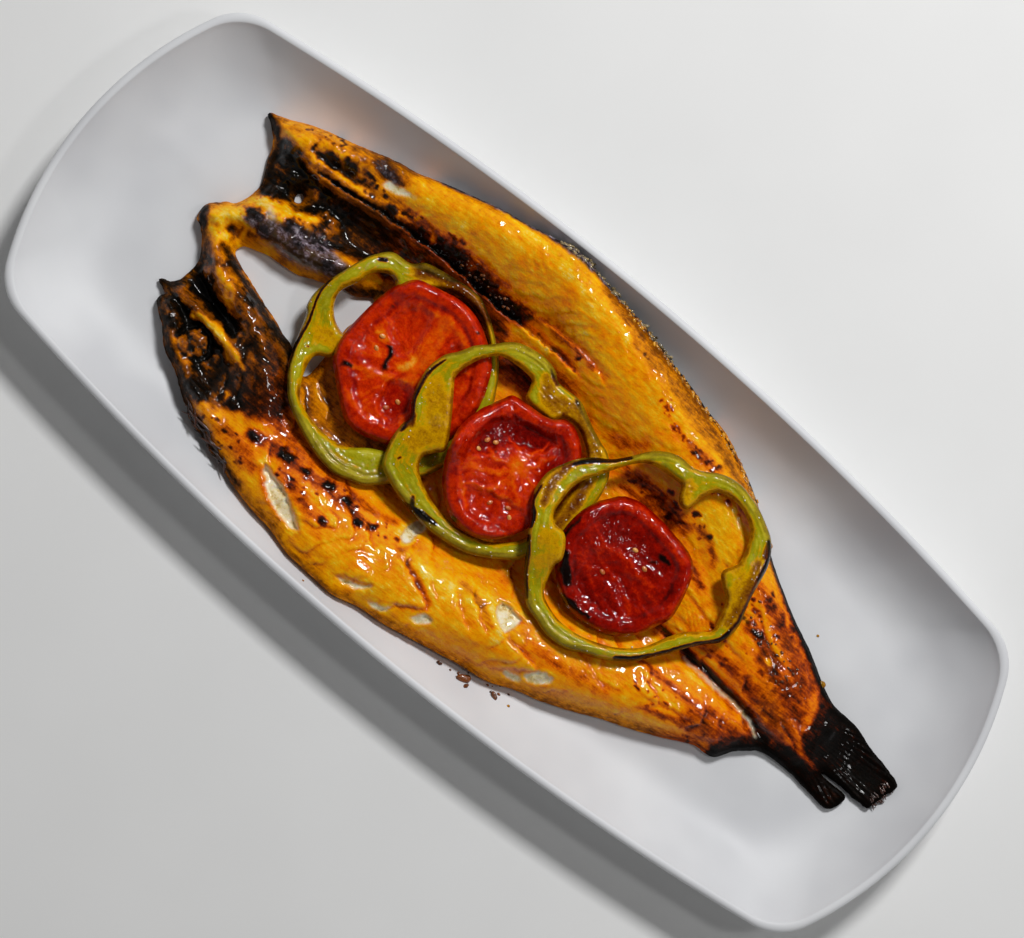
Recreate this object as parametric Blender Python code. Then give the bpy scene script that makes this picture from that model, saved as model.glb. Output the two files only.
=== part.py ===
"""A butterflied grilled fish with pepper rings and tomato slices, lying in its long white tray.

Lengths below are in millimetres and become metres when a mesh is made. The tray's centre is the
origin, +X runs towards the tail, +Y towards the deeper fillet and +Z is up. Every piece of food is
laid on what is under it: the fish follows the tray, and each topping follows the fish and the
toppings laid before it.
"""

import math

import bmesh
import bpy
from mathutils import Vector
from mathutils.bvhtree import BVHTree
from mathutils.geometry import delaunay_2d_cdt

MM = 0.001

# Driving sizes.
TRAY_LENGTH = 380.0
TRAY_WIDTH = 157.4
TRAY_HEIGHT = 24.0
PEPPER_THICKNESS = 5.0
TOMATO_THICKNESS = 5.5
GAP = 0.4

# How slabs are meshed and laid: room for the points inside the edge, the shares of a triangle's side
# at which it is tested against what lies below, and the room kept beside a piece.
RIM_INSET = 0.6
FILL_CLEARANCE = 1.15
TEST_SHARES = (0.0, 0.2, 0.4, 0.6, 0.8, 1.0)
TEST_WEIGHTS = [(a, b, 1 - a - b) for a in TEST_SHARES for b in TEST_SHARES if a + b < 1.001]
SETTLE_ROUNDS = 8
SIDE_CLEARANCE = 1.2
SIDE_BULGE = 0.12

# The tray: two long and two short bowed sides with rounded corners, and a wall that curves up.
TRAY_SIDE_RADIUS = 1070.0
TRAY_END_RADIUS = 130.0
TRAY_CORNER_RADIUS = 20.0
TRAY_CORNER_GROWTH = 0.5
CORNER_SHARE = 0.7
TRAY_FLOOR = 5.0
TRAY_WALL_REACH = 30.0
TRAY_WALL_POWER = 2.3
TRAY_LIP = 3.0
TRAY_LIP_DROP = 0.7
TRAY_SHELL_SIDEWAYS = 2.4
TRAY_SHELL_DOWN = 2.2
END_STEPS = 4
CORNER_STEPS = 7
SIDE_STEPS = 6
FOOT_OUTER = 32.0
FOOT_INNER = 37.0
FOOT_FILLET = 1.5
BASE_RECESS = 1.6
FLOOR_CAP_INSET = 55.0
INNER_WALL_INSETS = (30.0, 25.0, 20.0, 15.0, 10.0, 6.0)
OUTER_WALL_INSETS = (3.0, 8.0, 14.0, 22.0, 29.0)

# The fish, seen from above: two fillets and two half heads, joined at the chin and the tail.
FISH_PITCH = 5.5
FISH_BASE = 5.0
FISH_EDGE = 3.0
FISH_EDGE_ROUND = 8.0
FISH_SIDE_BULGE = 0.7
FISH_OUTLINE = (
    (-144, 43), (-137, 46.5), (-126, 50), (-112, 54), (-98, 58.5), (-82, 62.5), (-66, 67),
    (-50, 71), (-33, 73), (-15, 71.5), (5, 68.5), (22, 65.5), (40, 61.5), (56, 56), (70, 50),
    (82, 42), (95, 33), (109, 25), (122, 18), (133, 12), (147, 10), (160, 7), (173, 4),
    (171, -8), (160, -8.2), (149, -9.6), (156, -11.2), (162, -11.6), (161, -17.5), (148, -16.5),
    (137, -16), (129, -17), (124, -23), (119, -29.5), (109, -30), (98, -34), (84, -41),
    (70, -48), (56, -53), (40, -59), (25, -62.5), (8, -66), (-5, -67), (-16, -70), (-30, -70.5),
    (-45, -68), (-60, -66), (-75, -62), (-88, -58.5), (-98, -53.5), (-109, -47.5), (-120, -41),
    (-129, -35), (-132.5, -30), (-131, -27), (-136, -25.5), (-131, -21), (-130, -14),
    (-128, -9), (-134, -4.5), (-140, 1.5), (-139.5, 6), (-133, 11), (-131, 18), (-130.5, 26),
    (-134, 33), (-139, 38.5),
)
HEAD_GAP = (
    (-122.5, 0.5), (-116, 4.5), (-106, 6.3), (-96, 8.5), (-87, 11.5), (-79, 15), (-74, 17),
    (-73, 10), (-74.5, 0), (-75.5, -9), (-77, -17), (-82, -18.5), (-88, -14.5), (-98, -11),
    (-108, -7), (-116, -4),
)
CHEEK_HOLES = (((-117, 27), 2.3), ((-122, -17.5), 1.8))

# Raised forms of the fish: the route of the crest, its half width and its height over the base.
FISH_RIDGES = (
    (
        "upper fillet",
        ((-118, 50), (-90, 54), (-55, 58), (-15, 58), (25, 51), (60, 40), (95, 22), (128, 4)),
        17, 10.5,
    ),
    (
        "lower fillet",
        ((-92, -47), (-60, -52), (-20, -53), (25, -48), (65, -37), (100, -26), (118, -25)),
        16, 11,
    ),
    ("middle of the tail end", ((70, 10), (105, 4), (135, -2)), 13, 6),
    ("upper cheek wall", ((-138, 43), (-120, 48), (-98, 54)), 7, 12),
    ("upper palate edge", ((-132, 41), (-112, 39), (-84, 43)), 5, 10),
    ("chin", ((-138, 4), (-128, 14), (-115, 18), (-106, 24)), 7, 8),
    ("upper gill cover rim", ((-126, 9), (-108, 10), (-90, 14), (-76, 21)), 5, 9),
    ("lower jaw bar", ((-138, 2), (-126, -6), (-112, -14), (-96, -20)), 7, 9),
    ("lower brow", ((-130, -32), (-118, -41), (-104, -48), (-90, -52)), 5, 9),
    ("eye", ((-112, -35), (-110, -36)), 6, 8),
    ("lower gill cover", ((-96, -26), (-84, -31), (-78, -35)), 12, 9),
)
# Sunk forms: the route of the valley, its half width and its depth.
FISH_VALLEYS = (
    ("fold between the fillets", ((62, -8), (95, -9), (122, -11)), 4, 4),
    ("upper gill hollow", ((-108, 30), (-92, 31), (-74, 34)), 7, 3),
    ("upper eye socket", ((-104, 52), (-92, 52)), 6, 4),
    ("lower mouth", ((-130, -17), (-120, -22), (-108, -27)), 4, 3),
    ("tail fin", ((144, 2), (160, 0), (172, -2)), 9, 2.2),
    ("lower tail lobe", ((146, -14), (162, -14)), 4, 1.5),
)

# The pepper rings: outer and inner edge of each, with the plane that the ring would lie in.
PEPPER_PITCH = 6.0
PEPPER_EDGE_SPACING = 4.6
PEPPERS = (
    {
        "name": "pepper_ring_1",
        "outer": (
            (-79, 31), (-86, 20), (-90, 6), (-86.5, -8), (-83, -20), (-74, -30.5), (-60, -36.5),
            (-46, -38.5), (-33, -34), (-21, -26), (-15.5, -14), (-15.5, 4), (-21, 20), (-31, 33),
            (-44, 39.5), (-58, 39.5), (-70, 33.5),
        ),
        "inner": (
            (-76, 26.5), (-82, 19), (-84.5, 10), (-80.5, 2), (-72, -2.5), (-72.5, -9), (-76.5, -11),
            (-76, -19), (-70, -26), (-58, -29.5), (-46, -30.5), (-36, -27), (-27, -21), (-22.5, -12),
            (-21.5, 4), (-26.5, 17), (-35, 27.5), (-45, 34.5), (-57, 34.5), (-65, 28.5),
        ),
        "height": 11.8,
        "rise": (0.0, 0.02),
    },
    {
        "name": "pepper_ring_2",
        "outer": (
            (-27, 34), (-35, 26), (-41.5, 16), (-43.5, 7), (-40, -2), (-37, -8), (-38.5, -17),
            (-34, -25.5), (-22, -31.5), (-8, -32.5), (6, -30.5), (18, -24), (27, -13), (31, 4),
            (29.5, 19), (19, 28.5), (9, 33.5), (-1, 34.3), (-8, 37), (-17, 38),
        ),
        "inner": (
            (-25, 29.5), (-32, 22), (-36.5, 13), (-32, 7.5), (-27, 1), (-21.8, -8), (-25, -13),
            (-25, -19), (-17, -25), (-5, -26.5), (6, -25), (14, -19), (20.5, -9), (21.5, 4),
            (22, 15), (15, 24.5), (8, 27.5), (1, 24), (-7, 23), (-13, 26), (-17, 30),
        ),
        "height": 15.5,
        "rise": (-0.03, 0.0),
    },
    {
        "name": "pepper_ring_3",
        "outer": (
            (12.5, 12), (18, 20), (26, 27.5), (33, 37), (43, 41.5), (52, 42), (60, 46.3),
            (70, 46.5), (80, 42.5), (88, 35), (90, 24), (93.5, 11), (92.5, 1), (85, -7.5),
            (78, -17.5), (69, -27), (57, -32.5), (46, -34.7), (36, -32), (28, -25.5), (20, -13.5),
            (13, -3), (11.5, 5),
        ),
        "inner": (
            (20.5, 11), (24.5, 19), (31, 28), (37, 34), (44.5, 36.2), (50, 34), (54, 29.5),
            (57, 34), (63, 40.8), (71, 40.3), (79, 34.5), (82.5, 27), (79.8, 20), (85, 14),
            (88, 4), (80, -7), (73.5, -17), (66, -23.3), (55, -27.3), (43, -28.3), (34, -21.5),
            (34, -11.5), (27, -5), (20.5, -1.5),
        ),
        "height": 17.0,
        "rise": (0.01, 0.06),
    },
)

# The tomato slices: the outer edge of each, with the plane that the slice would lie in.
TOMATO_PITCH = 7.5
TOMATO_EDGE_SPACING = 6.0
TOMATOES = (
    {
        "name": "tomato_slice_1",
        "outer": (
            (-73.5, 8), (-69, 22), (-62, 31), (-49, 34), (-35, 30), (-25, 19), (-21.5, 5),
            (-26, -9), (-38, -19), (-50, -22), (-62, -17.5), (-71, -7),
        ),
        "height": 14.5,
        "rise": (0.01, 0.0),
    },
    {
        "name": "tomato_slice_2",
        "outer": (
            (-22.5, 1), (-19.5, 12), (-15, 20), (-6, 21.3), (2, 21.8), (9, 23), (16, 17),
            (20, 2), (17.5, -13), (9.5, -22.5), (-2, -25), (-13, -21.5), (-20, -11),
        ),
        "height": 16.5,
        "rise": (-0.03, 0.0),
    },
    {
        "name": "tomato_slice_3",
        "outer": (
            (28.5, 2), (33, 13), (42, 19), (54, 20.5), (68, 17), (73, 7), (75.5, -4),
            (70, -14), (60, -21), (49, -23), (38, -19.5), (31, -10),
        ),
        "height": 15.5,
        "rise": (-0.02, 0.03),
    },
)
LAYING_ORDER = (
    "pepper_ring_1", "tomato_slice_1", "pepper_ring_2", "tomato_slice_2", "tomato_slice_3", "pepper_ring_3",
)


# ---------------------------------------------------------------- scene and materials

def clear_scene():
    """Removes every object, so that the file holds only this model."""
    for obj in list(bpy.data.objects):
        bpy.data.objects.remove(obj)


def make_material(name, colour, roughness):
    """A Principled material with one colour."""
    material = bpy.data.materials.new(name)
    material.use_nodes = True
    shader = material.node_tree.nodes["Principled BSDF"]
    shader.inputs["Base Color"].default_value = (*colour, 1.0)
    shader.inputs["Roughness"].default_value = roughness
    shader.inputs["Metallic"].default_value = 0.0
    return material


def make_node(name, bm, material, collection):
    """Turns a bmesh in millimetres into a named object in metres."""
    bmesh.ops.recalc_face_normals(bm, faces=bm.faces)
    bmesh.ops.scale(bm, vec=(MM, MM, MM), verts=bm.verts)
    mesh = bpy.data.meshes.new(name)
    bm.to_mesh(mesh)
    bm.free()
    mesh.shade_smooth()
    mesh.set_sharp_from_angle(angle=math.radians(50))
    mesh.materials.append(material)
    obj = bpy.data.objects.new(name, mesh)
    collection.objects.link(obj)
    return obj


# ---------------------------------------------------------------- plane geometry

def catmull_rom(before, start, end, after, share):
    """A point on the smooth curve from start to end."""
    a = 2 * start
    b = end - before
    c = 2 * before - 5 * start + 4 * end - after
    d = 3 * start - before - 3 * end + after
    return 0.5 * (a + b * share + c * share**2 + d * share**3)


def smooth_loop(points, spacing):
    """A closed smooth curve through points, as points about spacing apart."""
    corners = [Vector(p) for p in points]
    count = len(corners)
    loop = []
    for i, start in enumerate(corners):
        end = corners[(i + 1) % count]
        steps = max(1, round((end - start).length / spacing))
        before = corners[i - 1]
        after = corners[(i + 2) % count]
        loop += [catmull_rom(before, start, end, after, k / steps) for k in range(steps)]
    return loop


def circle_loop(centre, radius, sides):
    """A circle as a closed list of points."""
    turns = [2 * math.pi * k / sides for k in range(sides)]
    return [Vector(centre) + radius * Vector((math.cos(t), math.sin(t))) for t in turns]


def distance_to_segment(point, start, end):
    """Distance from a point to a straight piece."""
    along = end - start
    share = (point - start).dot(along) / max(along.length_squared, 1e-9)
    return (point - start - along * min(1.0, max(0.0, share))).length


def distance_to_route(point, route):
    """Distance from a point to an open line of points."""
    return min(distance_to_segment(point, a, b) for a, b in zip(route, route[1:]))


def distance_to_loops(point, loops):
    """Distance from a point to the nearest of several closed lines."""
    return min(distance_to_route(point, loop + loop[:1]) for loop in loops)


def is_inside(point, loop):
    """True if the point is inside the closed line."""
    inside = False
    for a, b in zip(loop, loop[1:] + loop[:1]):
        if (a.y > point.y) != (b.y > point.y):
            crossing = a.x + (point.y - a.y) / (b.y - a.y) * (b.x - a.x)
            if point.x < crossing:
                inside = not inside
    return inside


def rim_points(loops, inset):
    """Points a fixed way inside each edge, where the slab is wide enough for them."""
    points = []
    for loop in loops:
        for before, after in zip(loop, loop[1:] + loop[:1]):
            middle = (before + after) / 2
            sideways = Vector((before.y - after.y, after.x - before.x)).normalized() * inset
            for point in (middle + sideways, middle - sideways):
                inside = is_inside(point, loops[0]) and not any(is_inside(point, h) for h in loops[1:])
                crowded = any((point - p).length < inset for p in points[-3:])
                if inside and not crowded and distance_to_loops(point, loops) > inset * 0.9:
                    points.append(point)
    return points


def filling_points(outer, holes, pitch, clearance):
    """A staggered grid of points inside outer and outside the holes, clear of every edge."""
    low_x, high_x = min(p.x for p in outer), max(p.x for p in outer)
    low_y, high_y = min(p.y for p in outer), max(p.y for p in outer)
    row_height = pitch * math.sqrt(3) / 2
    points = []
    for row in range(int((high_y - low_y) / row_height) + 1):
        y = low_y + row * row_height
        shift = pitch / 2 * (row % 2)
        for column in range(int((high_x - low_x) / pitch) + 1):
            point = Vector((low_x + shift + column * pitch, y))
            if not is_inside(point, outer) or any(is_inside(point, h) for h in holes):
                continue
            if distance_to_loops(point, [outer, *holes]) > clearance:
                points.append(point)
    return points


# ---------------------------------------------------------------- slabs: the fish and its toppings

def make_slab(outer, holes, pitch, ground, plane, thickness, bulge):
    """A closed slab with this outline, lying in its plane or on what stands higher than that.

    Its flat pattern is a triangle mesh; the side has a middle row pushed out by bulge.
    """
    loops = [outer, *holes]
    points = [p for loop in loops for p in loop]
    edges, start = [], 0
    for loop in loops:
        count = len(loop)
        edges += [(start + k, start + (k + 1) % count) for k in range(count)]
        start += count
    points += rim_points(loops, pitch * RIM_INSET)
    points += filling_points(outer, holes, pitch, pitch * FILL_CLEARANCE)
    flat, _, triangles = delaunay_2d_cdt(points, edges, [], 1, 1e-5)[:3]
    centres = [sum((flat[i] for i in t), Vector((0, 0))) / 3 for t in triangles]
    triangles = [
        t for t, c in zip(triangles, centres)
        if is_inside(c, outer) and not any(is_inside(c, h) for h in holes)
    ]
    underside = [ground(p) for p in flat]
    settle(flat, triangles, underside, plane, ground)
    bm = bmesh.new()
    low = [bm.verts.new((p.x, p.y, z)) for p, z in zip(flat, underside)]
    high = [bm.verts.new((p.x, p.y, z + thickness(p))) for p, z in zip(flat, underside)]
    for triangle in triangles:
        bm.faces.new([high[i] for i in triangle])
        bm.faces.new([low[i] for i in reversed(triangle)])
    close_sides(bm, low, high, bulge)
    loose = [v for v in bm.verts if not v.link_faces]
    bmesh.ops.delete(bm, geom=loose, context="VERTS")
    return bm


def settle(flat, triangles, heights, plane, ground):
    """Smooths the underside and lifts it where what is below would poke through, by turns."""
    floor = [max(plane(p), ground(p)) for p in flat]
    beside = [set() for _ in flat]
    for triangle in triangles:
        for i in triangle:
            beside[i].update(triangle)
    for _ in range(SETTLE_ROUNDS):
        heights[:] = [sum(heights[k] for k in near) / max(1, len(near)) for near in beside]
        heights[:] = [max(pair) for pair in zip(heights, floor)]
        lift_clear(flat, triangles, heights, ground)
    lift_clear(flat, triangles, heights, ground)


def lift_clear(flat, triangles, heights, ground):
    """Raises the corners of each triangle until no tested point of it is below the ground."""
    for triangle in triangles * 2:
        for weight in TEST_WEIGHTS:
            point = sum((w * flat[i] for w, i in zip(weight, triangle)), Vector((0, 0)))
            height = sum(w * heights[i] for w, i in zip(weight, triangle))
            missing = ground(point) - height
            if missing > 0:
                for w, i in zip(weight, triangle):
                    heights[i] += missing * w / sum(v * v for v in weight)


def close_sides(bm, low, high, bulge):
    """Joins the open rims of the two skins with a middle row pushed out from the slab."""
    below = dict(zip(high, low))
    rim = [e for e in bm.edges if e.is_boundary and e.verts[0] in below]
    outward = {}
    for edge in rim:
        face = edge.link_faces[0]
        a, b = edge.verts
        sideways = Vector((b.co.y - a.co.y, a.co.x - b.co.x, 0)).normalized()
        if sideways.dot((a.co + b.co) / 2 - face.calc_center_median()) < 0:
            sideways.negate()
        for vertex in edge.verts:
            outward[vertex] = outward.get(vertex, Vector()) + sideways
    middle = {}
    for vertex, direction in outward.items():
        halfway = (vertex.co + below[vertex].co) / 2
        middle[vertex] = bm.verts.new(halfway + direction.normalized() * bulge)
    for edge in rim:
        a, b = edge.verts
        bm.faces.new((a, b, middle[b], middle[a]))
        bm.faces.new((middle[a], middle[b], below[b], below[a]))


# ---------------------------------------------------------------- the tray

def wall_height(inset):
    """Height of the tray's inner surface at this distance from the outline."""
    share = max(0.0, TRAY_WALL_REACH - inset) / (TRAY_WALL_REACH - TRAY_LIP)
    return TRAY_FLOOR + (TRAY_HEIGHT - TRAY_LIP_DROP - TRAY_FLOOR) * share**TRAY_WALL_POWER


def arc(centre, radius, start, end, steps):
    """Points along an arc, without its last one."""
    turns = [start + (end - start) * k / steps for k in range(steps)]
    return [centre + radius * Vector((math.cos(t), math.sin(t))) for t in turns]


def circles_meet(centre_a, radius_a, centre_b, radius_b):
    """Where two circles cross, on the side of greater x and y."""
    between = centre_b - centre_a
    along = (radius_a**2 - radius_b**2 + between.length_squared) / (2 * between.length)
    across = math.sqrt(radius_a**2 - along**2)
    direction = between.normalized()
    crossings = [
        centre_a + direction * along + side * across * Vector((-direction.y, direction.x))
        for side in (-1, 1)
    ]
    return max(crossings, key=lambda p: p.x + p.y)


def tray_outline(inset):
    """The closed line at this inset: bowed sides and ends joined by tangent corner arcs."""
    side_radius = TRAY_SIDE_RADIUS - inset
    end_radius = TRAY_END_RADIUS - inset
    half_width = TRAY_WIDTH / 2 - inset
    corner_radius = min(TRAY_CORNER_RADIUS + TRAY_CORNER_GROWTH * inset, half_width * CORNER_SHARE)
    side_centre = Vector((0, half_width - side_radius))
    end_centre = Vector((TRAY_LENGTH / 2 - inset - end_radius, 0))
    corner_centre = circles_meet(
        side_centre, side_radius - corner_radius, end_centre, end_radius - corner_radius
    )
    end_turn = math.atan2(*(corner_centre - end_centre).yx)
    side_turn = math.atan2(*(corner_centre - side_centre).yx)
    quarter = arc(end_centre, end_radius, 0, end_turn, END_STEPS)
    quarter += arc(corner_centre, corner_radius, end_turn, side_turn, CORNER_STEPS)
    quarter += arc(side_centre, side_radius, side_turn, math.pi / 2, SIDE_STEPS)
    top = Vector((0, half_width))
    half = quarter + [top] + [Vector((-p.x, p.y)) for p in reversed(quarter)]
    return half + [Vector((p.x, -p.y)) for p in reversed(half[1:-1])]


def tray_section():
    """Insets and heights round the shell, from the floor over the lip to the underside."""
    inner = [(FLOOR_CAP_INSET, TRAY_FLOOR)]
    inner += [(inset, wall_height(inset)) for inset in INNER_WALL_INSETS]
    lip = [
        (TRAY_LIP, TRAY_HEIGHT - TRAY_LIP_DROP),
        (TRAY_LIP * 0.5, TRAY_HEIGHT),
        (0.0, TRAY_HEIGHT - 2 * TRAY_LIP_DROP),
    ]
    outer = [
        (inset, wall_height(inset + TRAY_SHELL_SIDEWAYS) - TRAY_SHELL_DOWN)
        for inset in OUTER_WALL_INSETS
    ]
    foot = [
        (FOOT_OUTER - FOOT_FILLET, TRAY_FLOOR - TRAY_SHELL_DOWN),
        (FOOT_OUTER, 0.0),
        (FOOT_INNER, 0.0),
        (FOOT_INNER + FOOT_FILLET, BASE_RECESS),
        (FLOOR_CAP_INSET, BASE_RECESS),
    ]
    return inner + lip + outer + foot


def make_tray(material, collection):
    """The tray, lofted through rings of the same outline at growing insets."""
    bm = bmesh.new()
    rings = [
        [bm.verts.new((p.x, p.y, height)) for p in tray_outline(inset)]
        for inset, height in tray_section()
    ]
    sides = len(rings[0])
    for ring, following in zip(rings, rings[1:]):
        for k in range(sides):
            n = (k + 1) % sides
            bm.faces.new((ring[k], ring[n], following[n], following[k]))
    bm.faces.new(rings[0])
    bm.faces.new(rings[-1])
    return make_node("tray", bm, material, collection)


# ---------------------------------------------------------------- what lies under a piece

def tree_of(obj):
    """A search tree of an object's faces, in metres."""
    vertices = [v.co for v in obj.data.vertices]
    return BVHTree.FromPolygons(vertices, [p.vertices for p in obj.data.polygons])


def height_below(trees, point):
    """Height in millimetres of the highest surface under a point."""
    high = Vector((point.x * MM, point.y * MM, 1.0))
    hits = [tree.ray_cast(high, Vector((0, 0, -1)))[0] for tree in trees]
    return max(hit.z / MM for hit in hits if hit)


def ground_of(trees):
    """A function for the lowest height at which a piece clears everything in trees."""
    around = [Vector((0, 0))] + circle_loop((0, 0), SIDE_CLEARANCE, 6)
    return lambda point: max(height_below(trees, point + step) for step in around) + GAP


# ---------------------------------------------------------------- the fish

def swell(distance, half_width):
    """1 on a crest, falling smoothly to 0 at 1.6 half widths."""
    share = min(1.0, distance / (1.6 * half_width))
    return (1 - share * share) ** 2


def fish_thickness(point, loops):
    """Thickness of the fish above its underside."""
    height = FISH_BASE
    for _, route, half_width, rise in FISH_RIDGES:
        crest = distance_to_route(point, [Vector(p) for p in route])
        height = max(height, FISH_BASE + rise * swell(crest, half_width))
    for _, route, half_width, depth in FISH_VALLEYS:
        height -= depth * swell(distance_to_route(point, [Vector(p) for p in route]), half_width)
    edge = min(1.0, distance_to_loops(point, loops) / FISH_EDGE_ROUND)
    rounding = math.sqrt(1 - (1 - edge) ** 2)
    return FISH_EDGE * (1 - rounding) + max(FISH_EDGE * 0.8, height) * rounding


def make_fish(trees, material, collection):
    """The whole fish as one slab in the tray, with the gap between the half heads left open."""
    outer = smooth_loop(FISH_OUTLINE, FISH_PITCH)
    holes = [smooth_loop(HEAD_GAP, FISH_PITCH)]
    holes += [circle_loop(centre, radius, 6) for centre, radius in CHEEK_HOLES]
    loops = [outer, *holes]
    bm = make_slab(
        outer, holes, FISH_PITCH, ground_of(trees), lambda _: TRAY_FLOOR,
        lambda p: fish_thickness(p, loops), FISH_SIDE_BULGE,
    )
    return make_node("fish", bm, material, collection)


# ---------------------------------------------------------------- toppings

def make_topping(piece, thickness, spacing, pitch, trees, material, collection):
    """A pepper ring or a tomato slice, laid on everything in trees."""
    outer = smooth_loop(piece["outer"], spacing)
    holes = [smooth_loop(piece["inner"], spacing)] if "inner" in piece else []

    def plane(point):
        return piece["height"] + point.x * piece["rise"][0] + point.y * piece["rise"][1]

    bm = make_slab(
        outer, holes, pitch, ground_of(trees), plane, lambda _: thickness, thickness * SIDE_BULGE
    )
    return make_node(piece["name"], bm, material, collection)


def main():
    clear_scene()
    collection = bpy.data.collections.new("grilled_fish_on_tray")
    bpy.context.scene.collection.children.link(collection)
    glaze = make_material("white_glaze", (0.78, 0.78, 0.77), 0.18)
    flesh = make_material("grilled_flesh", (0.72, 0.33, 0.04), 0.35)
    pepper = make_material("grilled_pepper", (0.33, 0.36, 0.05), 0.3)
    tomato = make_material("grilled_tomato", (0.55, 0.05, 0.02), 0.25)
    tray = make_tray(glaze, collection)
    trees = [tree_of(tray)]
    fish = make_fish(trees, flesh, collection)
    trees.append(tree_of(fish))
    pieces = {p["name"]: p for p in PEPPERS + TOMATOES}
    for name in LAYING_ORDER:
        piece = pieces[name]
        if "inner" in piece:
            made = make_topping(
                piece, PEPPER_THICKNESS, PEPPER_EDGE_SPACING, PEPPER_PITCH, trees, pepper, collection
            )
        else:
            made = make_topping(
                piece, TOMATO_THICKNESS, TOMATO_EDGE_SPACING, TOMATO_PITCH, trees, tomato, collection
            )
        trees.append(tree_of(made))


main()
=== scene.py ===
import math

import bpy
import numpy as np
from mathutils import Matrix, Vector
from mathutils.bvhtree import BVHTree
from mathutils.geometry import delaunay_2d_cdt


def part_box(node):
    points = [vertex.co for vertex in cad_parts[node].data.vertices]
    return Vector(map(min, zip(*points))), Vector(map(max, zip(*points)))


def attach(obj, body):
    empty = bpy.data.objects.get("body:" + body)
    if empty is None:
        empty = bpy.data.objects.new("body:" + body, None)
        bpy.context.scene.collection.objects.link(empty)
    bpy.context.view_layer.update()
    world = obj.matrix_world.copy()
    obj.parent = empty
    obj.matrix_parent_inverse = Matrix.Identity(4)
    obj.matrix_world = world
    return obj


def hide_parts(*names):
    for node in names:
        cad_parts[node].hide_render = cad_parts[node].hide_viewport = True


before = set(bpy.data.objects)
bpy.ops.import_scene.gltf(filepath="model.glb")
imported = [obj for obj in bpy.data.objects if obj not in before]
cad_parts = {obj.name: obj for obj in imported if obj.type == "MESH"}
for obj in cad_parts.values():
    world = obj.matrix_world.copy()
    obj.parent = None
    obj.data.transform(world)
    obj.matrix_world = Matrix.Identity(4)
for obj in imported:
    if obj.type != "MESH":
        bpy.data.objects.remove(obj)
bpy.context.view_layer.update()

# A grilled fish opened flat on a long white tray, with pepper rings and tomato slices.
# Lengths are in millimetres until a mesh is made. +X runs to the tail, +Y to the thicker fillet.
mm = 0.001


# curves and outlines

def curveThrough(points, spacing, closed=False):
    # evenly spaced points on a smooth curve through the given ones, with any number of columns
    pts = np.array(points, float)
    count = len(pts)
    share = np.linspace(0, 1, 12, endpoint=False)[:, None]
    pieces = []
    for i in range(count if closed else count - 1):
        near = [(i + k) % count if closed else min(max(i + k, 0), count - 1) for k in (-1, 0, 1, 2)]
        a, b, c, d = pts[near]
        bend = 2 * a - 5 * b + 4 * c - d
        twist = 3 * b - a - 3 * c + d
        pieces.append(0.5 * (2 * b + (c - a) * share + bend * share**2 + twist * share**3))
    pieces.append(pts[:1] if closed else pts[-1:])
    fine = np.concatenate(pieces)
    run = np.concatenate([[0], np.cumsum(np.hypot(*np.diff(fine[:, :2], axis=0).T))])
    steps = max(3, round(run[-1] / spacing))
    want = np.linspace(0, run[-1], steps + 1)
    if closed:
        want = want[:-1]
    return np.stack([np.interp(want, run, column) for column in fine.T], axis=1)


def signedArea(loop):
    x, y = loop[:, 0], loop[:, 1]
    return 0.5 * np.sum(x * np.roll(y, -1) - y * np.roll(x, -1))


def turned(loop, leftwards):
    # the loop running anticlockwise if leftwards, otherwise clockwise
    return loop if (signedArea(loop) > 0) == leftwards else loop[::-1].copy()


def outwardOf(loop):
    # unit vectors pointing away from the material, which lies on the left of the loop
    step = np.roll(loop, -1, 0) - np.roll(loop, 1, 0)
    side = np.stack([step[:, 1], -step[:, 0]], axis=1)
    return side / np.maximum(np.hypot(*side.T), 1e-9)[:, None]


def pointsInside(x, y, loops):
    inside = np.zeros(x.shape, bool)
    for loop in loops:
        for (ax, ay), (bx, by) in zip(loop, np.roll(loop, -1, 0)):
            if ay != by:
                inside ^= ((ay > y) != (by > y)) & (x < (bx - ax) * (y - ay) / (by - ay) + ax)
    return inside


# grids of heights and paint, and noise on them

def makeGrid(low, high, step):
    columns = round((high[0] - low[0]) / step) + 1
    rows = round((high[1] - low[1]) / step) + 1
    x, y = np.meshgrid(low[0] + step * np.arange(columns), low[1] + step * np.arange(rows))
    return {"low": low, "step": step, "x": x, "y": y, "wx": x, "wy": y}


def readGrid(grid, field, x, y):
    rows, columns = field.shape
    u = np.clip((x - grid["low"][0]) / grid["step"], 0, columns - 1.001)
    v = np.clip((y - grid["low"][1]) / grid["step"], 0, rows - 1.001)
    i, j = u.astype(int), v.astype(int)
    u, v = u - i, v - j
    near = field[j, i] * (1 - u) + field[j, i + 1] * u
    far = field[j + 1, i] * (1 - u) + field[j + 1, i + 1] * u
    return near * (1 - v) + far * v


def noise(x, y, seed):
    # smooth noise from random slopes on a lattice, about -1 to 1
    turn = np.random.default_rng(seed).uniform(0, 2 * math.pi, (64, 64))
    slopeX, slopeY = np.cos(turn), np.sin(turn)
    i, j = np.floor(x).astype(int), np.floor(y).astype(int)
    u, v = x - i, y - j
    mixU, mixV = (w * w * w * (w * (w * 6 - 15) + 10) for w in (u, v))

    def corner(a, b):
        row, column = (j + b) % 64, (i + a) % 64
        return slopeX[row, column] * (u - a) + slopeY[row, column] * (v - b)

    near = corner(0, 0) * (1 - mixU) + corner(1, 0) * mixU
    far = corner(0, 1) * (1 - mixU) + corner(1, 1) * mixU
    return 1.5 * (near * (1 - mixV) + far * mixV)


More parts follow.
